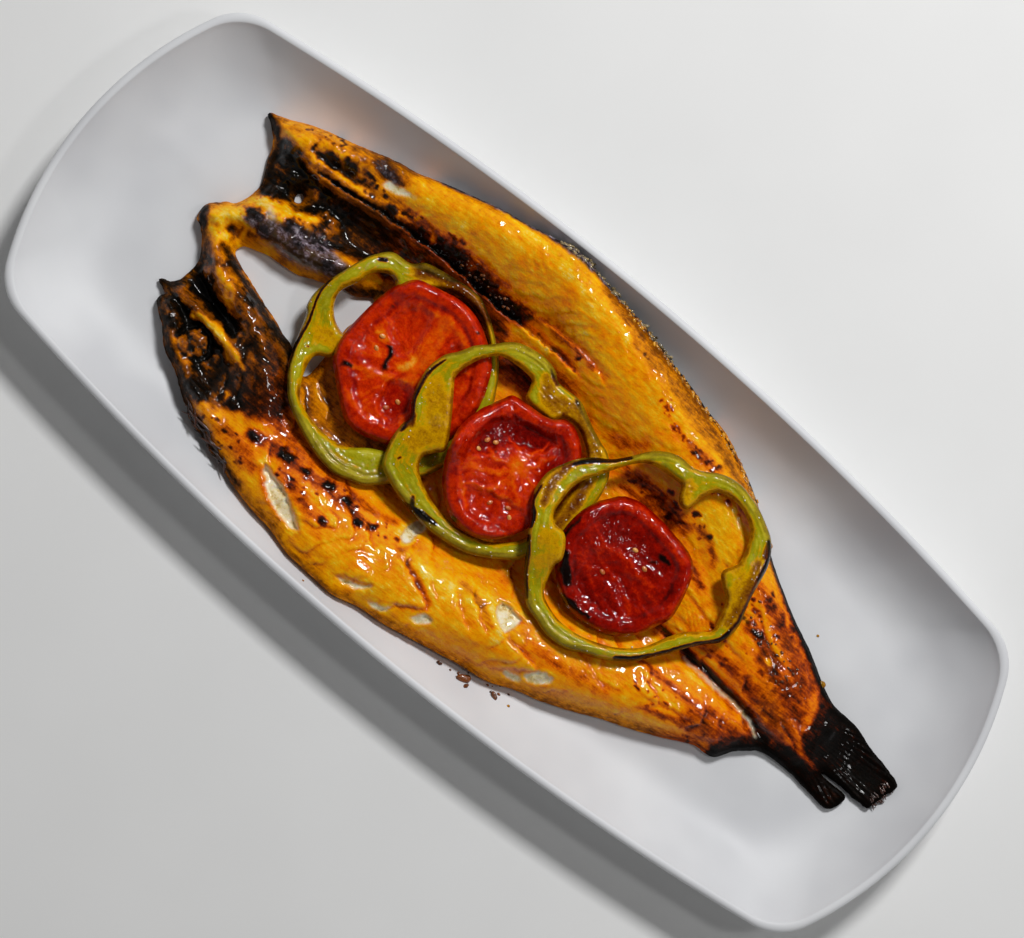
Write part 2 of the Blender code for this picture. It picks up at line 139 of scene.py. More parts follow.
def rough(x, y, size, seed, octaves=3):
    # several sizes of noise on top of each other, the first about size mm across
    total, amount, weight = 0, 1.0, 0
    for k in range(octaves):
        c, s = math.cos(0.7 * k), math.sin(0.7 * k)
        total = total + amount * noise((c * x - s * y) / size + 9 * k, (s * x + c * y) / size, seed + k)
        weight += amount
        amount *= 0.55
        size *= 0.5
    return total / weight


def smoothStep(low, high, value):
    t = np.clip((value - low) / (high - low), 0, 1)
    return t * t * (3 - 2 * t)


def blur(field, cells):
    # three running means along each axis
    for axis in (0, 1):
        for _ in range(3):
            pad = [(0, 0), (0, 0)]
            pad[axis] = (cells + 1, cells)
            run = np.cumsum(np.pad(field, pad, mode="edge"), axis=axis)
            width = 2 * cells + 1
            later, earlier = np.roll(run, -width, axis), run
            field = np.take((later - earlier) / width, range(field.shape[axis]), axis=axis)
    return field


def blurInside(field, mask, cells):
    return blur(field * mask, cells) / np.maximum(blur(mask.astype(float), cells), 1e-6)


def highestNear(field, cells):
    best = field.copy()
    for axis in (0, 1):
        reach = best.copy()
        for k in range(1, cells + 1):
            for way in (-k, k):
                reach = np.maximum(reach, np.roll(best, way, axis))
        best = reach
    return best


def nearTo(grid, route, reach, ragged=True):
    # for the cells near a route: how far off it they are, on which side (left is positive), and how
    # far along; all in the window of the grid that holds them
    path = np.array(route, float)[:, :2]
    low, step = grid["low"], grid["step"]
    shape = grid["x"].shape
    margin = reach + 2.5

    def window(x0, x1, y0, y1):
        rows = (int((y0 - margin - low[1]) / step), int((y1 + margin - low[1]) / step) + 2)
        columns = (int((x0 - margin - low[0]) / step), int((x1 + margin - low[0]) / step) + 2)
        return (
            slice(max(0, rows[0]), max(0, min(shape[0], rows[1]))),
            slice(max(0, columns[0]), max(0, min(shape[1], columns[1]))),
        )

    (x0, y0), (x1, y1) = path.min(0), path.max(0)
    outer = window(x0, x1, y0, y1)
    px, py = (grid[k][outer] for k in (("wx", "wy") if ragged else ("x", "y")))
    away = np.full(px.shape, reach + 1.0)
    side, along = np.ones(px.shape), np.zeros(px.shape)
    run = 0.0
    for (ax, ay), (bx, by) in zip(path, path[1:]):
        inner = window(min(ax, bx), max(ax, bx), min(ay, by), max(ay, by))
        part = tuple(slice(i.start - o.start, i.stop - o.start) for i, o in zip(inner, outer))
        dx, dy = bx - ax, by - ay
        length = max(math.hypot(dx, dy), 1e-9)
        qx, qy = px[part] - ax, py[part] - ay
        t = np.clip((qx * dx + qy * dy) / length**2, 0, 1)
        off = np.hypot(qx - t * dx, qy - t * dy)
        closer = off < away[part]
        away[part] = np.where(closer, off, away[part])
        side[part] = np.where(closer, np.sign(dx * qy - dy * qx), side[part])
        along[part] = np.where(closer, run + t * length, along[part])
        run += length
    return outer, away, side, along, run


def loopDistance(grid, loops, reach):
    # how far inside the loops each cell lies, negative outside, up to reach
    x, low, step = grid["x"], grid["low"], grid["step"]
    inside = np.zeros(x.shape, bool)
    away = np.full(x.shape, float(reach))
    for loop in loops:
        for (ax, ay), (bx, by) in zip(loop, np.roll(loop, -1, 0)):
            first = math.ceil((min(ay, by) - low[1]) / step)
            last = math.ceil((max(ay, by) - low[1]) / step)
            if last > first and last > 0:
                rows = np.arange(max(first, 0), min(last, x.shape[0]))
                crossing = (bx - ax) * (low[1] + rows * step - ay) / (by - ay) + ax
                inside[rows] ^= x[rows] < crossing[:, None]
        area, off = nearTo(grid, np.concatenate([loop, loop[:1]]), reach, False)[:2]
        away[area] = np.minimum(away[area], off)
    return np.where(inside, away, -away)


def strokeMask(grid, route, soft, width=0):
    # 1 on a brush stroke and 0 off it; a third number in a route's point is its own half width
    points = curveThrough(route, 1.5)
    ownWidth = points.shape[1] > 2
    widest = points[:, 2].max() if ownWidth else width
    area, away, _, along, run = nearTo(grid, points, widest + soft)
    if ownWidth:
        width = np.interp(along, np.linspace(0, run, len(points)), points[:, 2])
    return area, smoothStep(width + soft, width - soft, away)


def patchMask(grid, outline, soft):
    # 1 inside a closed outline and 0 outside it
    loop = curveThrough(outline, 1.5, closed=True)
    area, away = nearTo(grid, np.concatenate([loop, loop[:1]]), soft + 1.5)[:2]
    away = np.where(pointsInside(grid["wx"][area], grid["wy"][area], [loop]), away, -away)
    return area, smoothStep(-soft, soft, away)


def paint(field, masked, value, amount=1.0):
    area, mask = masked
    field[area] += (value - field[area]) * mask * amount


def lift(field, masked, height):
    area, mask = masked
    field[area] += height * mask


def layStep(grid, field, route, drop, reach, lowSide, width):
    # a torn edge, width wide: the surface falls by drop on one side and rises back over reach
    points = curveThrough(route, 1.0)
    area, away, side, along, run = nearTo(grid, points, 3 * reach)
    signed = away * side * -lowSide
    ends = smoothStep(0, 0.18 * run, along) * smoothStep(run, 0.82 * run, along)
    fallen = smoothStep(width, -width, signed) * np.exp(-np.maximum(0, -signed) / reach)
    field[area] -= drop * fallen * ends * (away < 3 * reach)


# meshes

def meshOf(name, vertices, faces, material, attributes=None, smooth=True):
    # vertices in mm; attributes are named numbers, one for each vertex
    mesh = bpy.data.meshes.new(name)
    mesh.from_pydata(np.asarray(vertices, float) * mm, [], faces)
    for key, values in (attributes or {}).items():
        layer = mesh.attributes.new(key, "FLOAT", "POINT")
        layer.data.foreach_set("value", np.asarray(values, np.float32))
    if smooth:
        mesh.shade_smooth()
    mesh.materials.append(material)
    piece = bpy.data.objects.new(name, mesh)
    bpy.context.scene.collection.objects.link(piece)
    return piece


def staggered(grid, inside, pitch, clearance):
    # rows of points inside an outline, each row shifted by half a step
    x0, y0 = grid["low"]
    x1, y1 = grid["x"].max(), grid["y"].max()
    rows = []
    for k, y in enumerate(np.arange(y0, y1, pitch * math.sqrt(3) / 2)):
        x = np.arange(x0 + pitch / 2 * (k % 2), x1, pitch)
        rows.append(np.column_stack([x, np.full(len(x), y)]))
    points = np.concatenate(rows)
    return points[readGrid(grid, inside, *points.T) > clearance]


def fillLoops(loops, filling):
    # triangles between the loops through the filling points; returns points and anticlockwise faces
    rim = np.concatenate(loops)
    edges, start = [], 0
    for loop in loops:
        count = len(loop)
        edges += [(start + k, start + (k + 1) % count) for k in range(count)]
        start += count
    points = np.concatenate([rim, filling])
    result = delaunay_2d_cdt([Vector(p) for p in points], edges, [], 1, 1e-6)
    flat = np.array([tuple(v) for v in result[0]])
    faces = np.array(result[2])
    order = {given: k for k, sources in enumerate(result[3]) for given in sources}
    rimPlace = np.array([order[k] for k in range(len(rim))])
    onRim = np.zeros(len(flat), bool)
    onRim[rimPlace] = True
    doubtful = onRim[faces].all(axis=1)
    centre = flat[faces[doubtful]].mean(axis=1)
    keep = np.ones(len(faces), bool)
    keep[doubtful] = pointsInside(centre[:, 0], centre[:, 1], loops)
    faces = faces[keep]
    a, b, c = (flat[faces[:, k]] for k in range(3))
    back = (b[:, 0] - a[:, 0]) * (c[:, 1] - a[:, 1]) < (b[:, 1] - a[:, 1]) * (c[:, 0] - a[:, 0])
    faces[back] = faces[back][:, ::-1]
    return flat, faces, rimPlace


def slabMesh(name, grid, loops, inside, top, bottom, looks, material, pitch, bulge, sideRows):
    # a closed body between two grids of heights, with rounded sides
    loops = [turned(loop, k == 0) for k, loop in enumerate(loops)]
    flat, faces, rim = fillLoops(loops, staggered(grid, inside, pitch, 0.6 * pitch))
    under, underFaces, underRim = fillLoops(loops, staggered(grid, inside, 5 * pitch, 2.5 * pitch))
    high = readGrid(grid, top, *flat.T)
    low = readGrid(grid, bottom, *under.T)
    outward = np.concatenate([outwardOf(loop) for loop in loops])
    edge, edgeHigh = flat[rim], high[rim]
    edgeLow = low[underRim]
    vertices = [np.column_stack([flat, high])]
    count = len(flat)
    rings = [rim]
    for row in range(1, sideRows):
        share = row / sideRows
        out = bulge * math.sin(math.pi * share) * outward
        height = edgeHigh + (edgeLow - edgeHigh) * share
        vertices.append(np.column_stack([edge + out, height]))
        rings.append(count + np.arange(len(rim)))
        count += len(rim)
    vertices.append(np.column_stack([under, low]))
    rings.append(count + underRim)
    quads, start = [], 0
    for loop in loops:
        here = start + np.arange(len(loop))
        then = start + (np.arange(len(loop)) + 1) % len(loop)
        for upper, lower in zip(rings, rings[1:]):
            quads.append(np.column_stack([upper[here], lower[here], lower[then], upper[then]]))
        start += len(loop)
    allFaces = faces.tolist() + np.concatenate(quads).tolist()
    allFaces += (underFaces[:, ::-1] + count).tolist()
    attributes = {}
    for key, field in looks.items():
        onTop = readGrid(grid, field, *flat.T)
        onSide = [onTop[rim]] * (sideRows - 1)
        attributes[key] = np.concatenate([onTop, *onSide, readGrid(grid, field, *under.T)])
    return meshOf(name, np.concatenate(vertices), allFaces, material, attributes)


def searchTree(piece):
    mesh = piece.data
    return BVHTree.FromPolygons([v.co for v in mesh.vertices], [p.vertices for p in mesh.polygons])


def trayMap():
    # points 1 mm apart over the whole tray
    return makeGrid((-192, -80), (192, 80), 1.0)


# what already lies on the tray, as a map of heights
land = trayMap()
land["height"] = np.zeros(land["x"].shape)


def addToLand(piece):
    tree = searchTree(piece)
    down = Vector((0, 0, -1))
    corners = np.array([v[:] for v in piece.bound_box]) / mm
    near = (land["x"] > corners[:, 0].min()) & (land["x"] < corners[:, 0].max())
    near &= (land["y"] > corners[:, 1].min()) & (land["y"] < corners[:, 1].max())
    for j, i in zip(*np.nonzero(near)):
        start = Vector((land["x"][j, i] * mm, land["y"][j, i] * mm, 1))
        hit = tree.ray_cast(start, down)[0]
        if hit:
            land["height"][j, i] = max(land["height"][j, i], hit.z / mm)


# materials

def hexToLinear(code):
    channels = [int(code[k:k + 2], 16) / 255 for k in (0, 2, 4)]
    return [c / 12.92 if c <= 0.04045 else ((c + 0.055) / 1.055) ** 2.4 for c in channels] + [1]


def addNode(owner, kind, inputs=None, stops=(), out=0, **settings):
    # inputs are values or sockets of other nodes; stops are places and colours on a ramp;
    # what comes back is one of the new node's outputs
    tree = owner.node_tree
    node = tree.nodes.new("ShaderNode" + kind)
    for key, value in settings.items():
        setattr(node, key, value)
    for key, value in (inputs or {}).items():
        if isinstance(value, bpy.types.NodeSocket):
            tree.links.new(value, node.inputs[key])
        else:
            node.inputs[key].default_value = value
    # a new ramp has two marks, which take the first and the last stop
    for k, (place, code) in enumerate([*stops[:1], *stops[-1:], *stops[1:-1]]):
        marks = node.color_ramp.elements
        mark = marks[k] if k < 2 else marks.new(place)
        mark.position = place
        mark.color = hexToLinear(code)
    return node.outputs[out] if node.outputs else None


def newMaterial(name):
    material = bpy.data.materials.new(name)
    material.use_nodes = True
    material.node_tree.nodes.clear()
    return material


# The tray: glazed porcelain, cast with very shallow hammered dimples. The eye sees soft grey facets.
trayForm = {
    "sideRadius": 1070.0, "endRadius": 130.0, "cornerRadius": 20.0, "cornerGrowth": 0.5,
    "cornerShare": 0.7, "floor": 5.0, "wallReach": 30.0, "wallPower": 2.3, "lip": 3.0,
    "lipDrop": 0.7, "shellSideways": 2.4, "shellDown": 2.2, "footOuter": 32.0, "footInner": 37.0,
    "footFillet": 1.5, "recess": 1.6, "dimpleSize": 34.0, "dimpleDepth": 0.4, "dimpleSoft": 0.3,
    "endSteps": 16, "cornerSteps": 26, "sideSteps": 36, "floorPitch": 3.0, "seed": 11,
}
trayGlaze = {"glaze": "E6E7E9", "shade": "D9DADD", "roughness": 0.5, "cloud": 40, "grain": 1.6}


def arcPoints(centre, radius, start, end, steps):
    turn = start + (end - start) * np.arange(steps) / steps
    return centre + radius * np.stack([np.cos(turn), np.sin(turn)], axis=1)


def trayOutline(inset):
    # bowed sides and ends joined by tangent corner arcs, at this inset from the rim
    f = trayForm
    low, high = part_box("tray")
    sideRadius, endRadius = f["sideRadius"] - inset, f["endRadius"] - inset
    halfWidth = (high.y - low.y) / 2 / mm - inset
    halfLength = (high.x - low.x) / 2 / mm - inset
    corner = min(f["cornerRadius"] + f["cornerGrowth"] * inset, f["cornerShare"] * halfWidth)
    sideCentre = np.array([0, halfWidth - sideRadius])
    endCentre = np.array([halfLength - endRadius, 0])
    between = endCentre - sideCentre
    apart = np.hypot(*between)
    ra, rb = sideRadius - corner, endRadius - corner
    onLine = (ra**2 - rb**2 + apart**2) / (2 * apart)
    offLine = math.sqrt(ra**2 - onLine**2)
    along = between / apart
    meets = [
        sideCentre + along * onLine + s * offLine * np.array([-along[1], along[0]]) for s in (-1, 1)
    ]
    centre = max(meets, key=sum)
    endTurn = math.atan2(*(centre - endCentre)[::-1])
    sideTurn = math.atan2(*(centre - sideCentre)[::-1])
    quarter = np.concatenate([
        arcPoints(endCentre, endRadius, 0, endTurn, f["endSteps"]),
        arcPoints(centre, corner, endTurn, sideTurn, f["cornerSteps"]),
        arcPoints(sideCentre, sideRadius, sideTurn, math.pi / 2, f["sideSteps"]),
    ])
    half = np.concatenate([quarter, [[0, halfWidth]], quarter[::-1] * (-1, 1)])
    return np.concatenate([half, half[1:-1][::-1] * (1, -1)])


def wallHeight(inset):
    f = trayForm
    share = np.maximum(0, f["wallReach"] - inset) / (f["wallReach"] - f["lip"])
    top = (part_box("tray")[1].z / mm) - f["lipDrop"]
    return f["floor"] + (top - f["floor"]) * share ** f["wallPower"]


def dimples(x, y):
    # shallow bowls that meet in soft ridges, round the points of an uneven lattice
    f = trayForm
    size = f["dimpleSize"]
    random = np.random.default_rng(f["seed"])
    soft = (f["dimpleSoft"] * size) ** 2
    total = np.zeros(x.shape)
    for i in range(-6, 7):
        for j in range(-3, 4):
            jx, jy = random.uniform(-0.42, 0.42, 2)
            away = (x - (i + jx + 0.5 * (j % 2)) * size) ** 2 + (y - (j + jy) * size) ** 2
            total += np.exp(-away / soft)
    return f["dimpleDepth"] * (-soft * np.log(total + 1e-12)) / (0.5 * size) ** 2


def makeTray(material):
    f = trayForm
    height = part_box("tray")[1].z / mm
    section = [(inset, wallHeight(inset), 1) for inset in np.linspace(f["wallReach"] + 4, f["lip"], 26)]
    for k in range(1, 10):
        # the rounded lip, from the inner wall over the top to the outer edge
        turn = math.pi * k / 9
        inset = f["lip"] / 2 * (1 + math.cos(turn))
        drop = f["lipDrop"] * (1 + (turn > math.pi / 2)) * (1 - math.sin(turn))
        section.append((inset, height - drop, 0))
    outer = np.linspace(0.9, f["wallReach"] - 1, 22)
    section += [
        (inset, wallHeight(inset + f["shellSideways"]) - f["shellDown"], 0) for inset in outer
    ]
    section += [
        (f["footOuter"] - f["footFillet"], f["floor"] - f["shellDown"], 0),
        (f["footOuter"] - 0.4, 1.2, 0), (f["footOuter"], 0.3, 0), (f["footOuter"] + 0.5, 0, 0),
        (f["footInner"] - 0.5, 0, 0), (f["footInner"], 0.3, 0),
        (f["footInner"] + f["footFillet"], f["recess"], 0), (45, f["recess"], 0),
    ]
    rings = [trayOutline(inset) for inset, _, _ in section]
    sides = len(rings[0])
    vertices = []
    for (inset, z, inner), ring in zip(section, rings):
        fade = inner * smoothStep(f["lip"], f["lip"] + 12, inset)
        vertices.append(np.column_stack([ring, z + fade * dimples(*ring.T)]))
    faces = []
    for k in range(len(rings) - 1):
        for i in range(sides):
            n = (i + 1) % sides
            faces.append((k * sides + i, (k + 1) * sides + i, (k + 1) * sides + n, k * sides + n))
    count = len(rings) * sides
    # the floor and the underside, filled inside the first and the last ring
    area = trayMap()
    for ring, upward in ((0, True), (len(rings) - 1, False)):
        inside = loopDistance(area, [rings[ring]], 12)
        flat, fill, rim = fillLoops([rings[ring]], staggered(area, inside, f["floorPitch"], 1.2))
        z = f["floor"] + dimples(*flat.T) if upward else np.full(len(flat), f["recess"])
        fresh = np.setdiff1d(np.arange(len(flat)), rim)
        place = np.zeros(len(flat), int)
        place[rim] = ring * sides + np.arange(sides)
        place[fresh] = count + np.arange(len(fresh))
        vertices.append(np.column_stack([flat[fresh], z[fresh]]))
        count += len(fresh)
        faces += place[fill if upward else fill[:, ::-1]].tolist()
    return meshOf("porcelain_tray", np.concatenate(vertices), faces, material)


def glazedPorcelain():
    # a thick clear glaze on white porcelain: softly glossy and a little uneven in its shine
    c = trayGlaze
    m = newMaterial("glazed_porcelain")
    place = addNode(m, "TexCoord", out="Object")
    cloud = addNode(m, "TexNoise", {"Vector": place, "Scale": 1000 / c["cloud"], "Detail": 2})
    grain = addNode(m, "TexNoise", {"Vector": place, "Scale": 1000 / c["grain"], "Detail": 3})
    tone = addNode(m, "ValToRGB", {"Fac": cloud}, [(0.35, c["shade"]), (0.65, c["glaze"])])
    gloss = addNode(m, "MapRange", {
        "Value": cloud, "From Min": 0.3, "From Max": 0.7,
        "To Min": c["roughness"] - 0.04, "To Max": c["roughness"] + 0.06})
    bump = addNode(m, "Bump", {"Height": grain, "Strength": 0.03, "Distance": 0.0004})
    shader = addNode(m, "BsdfPrincipled", {
        "Base Color": tone, "Roughness": gloss, "Normal": bump, "IOR": 1.5})
    addNode(m, "OutputMaterial", {"Surface": shader})
    return m


tray = makeTray(glazedPorcelain())
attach(tray, "root")
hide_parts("tray")
addToLand(tray)
print("tray made")


# The fish: flesh under a turmeric marinade, grilled until its ridges toast and its thin ends char.
# The eye sees wet orange-gold fibres, glassy brown patches and black blistered edges.
fishForm = {
    "step": 0.4, "pitch": 0.64, "gap": 0.5, "base": 4.6, "edge": 1.5, "edgeRound": 11.0,
    "sideBulge": 0.4, "sideRows": 5, "fibreLength": 7.0, "fibreWidth": 1.15, "fibreHeight": 0.11,
    "flakeLength": 9.0, "flakeHeight": 1.2, "tearWidth": 0.45, "thinnest": 1.6, "rayHeight": 0.34,
    "eye": (-112, -35), "eyeRadius": 5.4, "eyeHeight": 3.2, "eyeRimDepth": 1.1, "uneven": 0.45,
    "headUneven": 1.9, "meatGrain": 0.14, "headGrain": 0.4, "blisterRise": 0.5, "seed": 21,
}
# how far each thing browns the flesh: 0 is raw, 0.3 golden, 0.6 brown and 1 black; the flake-end, crease,
# edge and hollow entries are painted shade instead, and the hollow entries also paint light on crests
fishToast = {
    "plain": 0.27, "cloudy": 0.07, "fibre": 0.09, "fine": 0.05, "flakeFootShade": 0.12, "creaseShade": 0.13,
    "edge": 0.10, "belly": 0.06, "tail": 0.3, "head": 0.19, "hollow": 0.4, "headHollowShade": 0.3,
    "headCloudy": 0.24, "fissure": 0.14, "tear": 0.56, "blisterRim": 0.72, "blister": 0.96,
    "rim": 0.1, "frayed": 0.3, "frayedLess": 0.14,
}
fishOutline = (
    (-144, 43.5), (-137, 46), (-128, 50), (-110, 55), (-100, 58), (-90, 60), (-80, 63), (-70, 65.5),
    (-60, 68), (-50, 69.5), (-40, 71.5), (-30, 73.2), (-20, 72), (-10, 70.5), (0, 69.5), (10, 67.5),
    (20, 65.5), (30, 63.5), (40, 61), (50, 59), (60, 55), (70, 50), (80, 43.5), (90, 36), (100, 30),
    (110, 24.5), (120, 20), (130, 14.5), (135, 12), (140, 10.4), (150, 9.7), (160, 6.9), (167, 5.4),
    (173.2, 3.4), (172.2, -2), (171, -7.5), (170, -9.6), (160, -9.2), (152, -9.6), (151, -10.8),
    (155, -11.2), (162, -11.3), (162.6, -14), (161, -17.6), (158, -18.6), (150, -17.6),
    (142, -16.8), (134, -17), (129, -18), (126, -20.5), (122, -24), (119, -29), (116, -30.5),
    (110, -31), (100, -36), (90, -40.5), (80, -44.5), (70, -49), (60, -53), (50, -56), (40, -60),
    (30, -61.5), (20, -63.5), (10, -65.5), (0, -67.5), (-10, -68.5), (-20, -71), (-30, -70.5),
    (-40, -70), (-50, -67.5), (-60, -66), (-70, -64), (-75, -62), (-80, -60.5), (-85, -59.5),
    (-90, -57.5), (-95, -56.5), (-100, -53.5), (-105, -50.5), (-110, -47), (-115, -44.5),
    (-120, -42), (-125, -37), (-130, -33.5), (-132, -31), (-131, -28), (-133, -27), (-136, -25.2),
    (-132, -23.5), (-130, -20), (-129.5, -12), (-133, -6), (-137, -2), (-140, 0), (-140, 5),
    (-136, 9), (-133, 11), (-131, 15), (-130, 22), (-132, 27), (-134, 31), (-135.5, 35),
    (-138, 38.5), (-141, 41),
)
headGap = (
    (-122.5, 0), (-121, 2.5), (-117, 4), (-112, 5.5), (-106, 6), (-100, 7), (-95, 9), (-90, 11),
    (-85, 13), (-80, 14), (-75, 17), (-72, 15), (-73, 9), (-75, 3), (-74, -11), (-76, -20),
    (-86, -14.5), (-90, -13.5), (-95, -11.5), (-100, -10), (-106, -8), (-112, -6), (-118, -4),
    (-122, -2),
)
cheekHole = ((-119, 28), (-117.5, 29.6), (-115.4, 28.2), (-115.8, 25.8), (-118, 25.2))
upperLine = (
    (-150, 44), (-130, 47), (-90, 54), (-55, 58), (-15, 58), (25, 51), (60, 40), (95, 22), (128, 4),
    (180, -5),
)
lowerLine = (
    (-150, -28), (-130, -32), (-92, -47), (-60, -52), (-20, -53), (25, -48), (65, -37), (100, -26),
    (128, -20), (180, -14),
)
# raised forms: x, y and rise of the crest above the base, then the form's half width
fishRidges = (
    (((-128, 47, 5), (-108, 51, 8), (-85, 54.5, 10.5), (-55, 58, 12.5), (-15, 58, 13), (25, 51, 12),
      (60, 40, 10), (90, 25, 7), (115, 11, 4.5), (134, 2, 2)), 17),
    (((-100, -46, 3), (-85, -49, 7), (-60, -52, 10), (-20, -53, 12.5), (25, -48, 12.5),
      (65, -37, 10), (100, -26, 7), (122, -22, 3)), 16),
    (((66, 12, 4), (90, 8, 6), (112, 3, 6), (134, -2, 3)), 13),
    (((-141, 42, 6), (-130, 44, 10), (-118, 48.5, 12), (-98, 54, 9)), 6),
    (((-130, 40.5, 7), (-112, 39.5, 10), (-84, 43.5, 8)), 4),
    (((-138, 2, 5), (-131, 9, 8), (-124, 15, 8), (-113, 19, 9), (-104, 25, 4)), 6),
    (((-126, 10, 6), (-112, 12, 9), (-98, 14, 9), (-82, 20, 5)), 5),
    (((-138, 2, 5), (-128, -5, 8), (-114, -11, 9), (-98, -17, 8), (-84, -21, 5)), 6),
    (((-131, -30, 5), (-119, -40, 9), (-104, -48, 10), (-90, -52, 8)), 5),
    (((-97, -25, 6), (-86, -30, 10), (-79, -37, 8)), 11),
    (((-128, -24, 4), (-112, -25.5, 7), (-98, -29.5, 8)), 3.5),
)
# sunk forms in the same terms, with a depth
fishValleys = (
    (((60, -8, 0), (75, -8.5, 2.2), (100, -10, 3), (122, -13, 2.5), (130, -14.5, 1)), 2.6),
    (((-112, 30, 2), (-92, 31.5, 4.5), (-70, 34, 3), (-50, 36, 2)), 7),
    (((-104, 52.5, 1), (-98, 53, 3.4), (-92, 52, 1)), 4),
    (((-130, -17, 2), (-120, -21, 4.5), (-106, -23, 3)), 3.5),
    (((142, 3, 1), (150, 1, 3), (162, -1, 3.4), (172, -2, 3.4)), 8),
    (((144, -14, 1), (154, -14.5, 2), (162, -15, 2)), 3.5),
)
# torn edges: route, drop, how far the surface takes to rise again, low side (1 left, -1 right)
fishSteps = (
    (((2, 40), (-8, 42), (-18, 42.5), (-28, 42), (-40, 41.5), (-52, 42), (-64, 42.5), (-78, 42),
      (-95, 40), (-112, 37.5), (-128, 38)), 6.0, 9, -1),
    (((-28, 47.6), (-16, 48.4), (-4, 47.4), (8, 44)), 1.6, 3, 1),
    (((-38, -44), (-31, -47), (-27, -49.5)), 1.1, 3, 1),
    (((-26, -44), (-22, -48), (-18, -50.5)), 1.1, 3, 1),
    (((-12, -46), (0, -50), (8, -54.5), (2, -58.5), (-5, -62)), 1.5, 3.5, 1),
    (((-10, -59.5), (-16, -62), (-24, -66)), 1.2, 2.5, 1),
    (((34, -44.5), (42, -45), (50.5, -46), (48, -49), (44, -52), (38, -56)), 1.6, 3.5, 1),
    (((35.5, -36), (36, -40), (34.5, -44)), 1.4, 3, 1),
    (((12, -42), (16, -46), (22, -50), (26, -51)), 1.0, 3, 1),
    (((20, -41), (26, -46), (31, -48)), 1.0, 3, 1),
    (((4, -46), (7, -48.5), (10, -50)), 0.8, 2.5, 1),
    (((-8, -38), (-10, -42), (-13, -45)), 0.9, 2.5, 1),
    (((-46, -60), (-52, -55), (-58, -52.5)), 1.0, 3, -1),
    (((55, -31), (65, -34.5), (75, -37)), 0.7, 2, 1),
    (((62, -36), (71, -35), (80, -33)), 0.6, 2, -1),
    (((84, -30), (96, -27), (108, -25)), 0.9, 2.5, -1),
    (((64, 10), (78, 7), (92, 4), (108, 1)), 0.9, 3, -1),
    (((96, 20), (106, 13), (118, 9)), 0.9, 3, -1),
)
# gaps between flakes, where the pale inner flesh shows: outline and depth
fishFissures = (
    (((-66, -52), (-60, -52.8), (-53, -55), (-48, -58), (-43, -61.4), (-45, -63), (-51, -62), (-56, -60.4),
      (-61, -56.6)), 3.0),
    (((-14, -33), (-9, -33), (-10, -38), (-11, -41.5), (-14, -41)), 1.6),
    (((27, -36), (35.5, -36.5), (35.5, -40), (34.5, -44), (30, -42)), 2.4),
    (((6, -60.5), (9, -56.5), (13, -56), (12, -58), (10.5, -60)), 1.3),
    (((-22, -65.5), (-15, -63), (-10.5, -59.8), (-12, -62.5), (-17, -65.5)), 1.3),
    (((-8, -65.5), (-4, -63.5), (-1, -62), (-4, -65.5)), 1.0),
    (((49, -51), (52, -46), (58, -45.5), (55, -49.5)), 1.4),
    (((43, -53), (49, -51.8), (48, -54.3), (44, -54.5)), 1.2),
    (((-97, 48.5), (-91, 49.5), (-86, 51.5), (-90, 52), (-96, 51)), 0.5),
)
# blackened blisters: x, y, radius
fishBlisters = (
    (-75.5, -47, 1.6), (-63, -45, 2.0), (-54, -45, 1.3), (-45, -43.5, 1.5), (-37, -43.5, 1.4),
    (-29, -46.5, 1.3), (-24, -45, 1.0), (-39, -54.5, 1.1), (102, 11.5, 1.3), (-66, 45, 1.8),
    (-61, 46.2, 2.0), (-50, 45.4, 1.9), (-40, 44.2, 1.8), (-35.5, 44.6, 2.0), (-125, 12, 2.0),
    (-119, 9.5, 1.5), (-112, 17.5, 2.2), (-107, 14.5, 1.6), (-101, 18, 1.7), (-94, 15, 1.5),
    (-70, 46.6, 1.2), (-56, 44.2, 1.4), (-45.6, 46.2, 1.3), (-30, 45.6, 1.2), (-77, 45.2, 1.1),
    (-103, -47, 3.4), (-128, -30, 2.0), (-124, -35, 2.2), (-118, -43, 1.8), (-89, -43, 2.0),
    (-120, -5.6, 1.6), (-107, -12, 1.8), (-96, -14, 1.6), (-126, 23, 2.4), (-123, 31, 2.6),
    (-129, 34, 2.0), (-130, 27, 1.8), (-110, 46, 1.8), (-117, 44, 1.6), (-90, 44, 1.5),
)
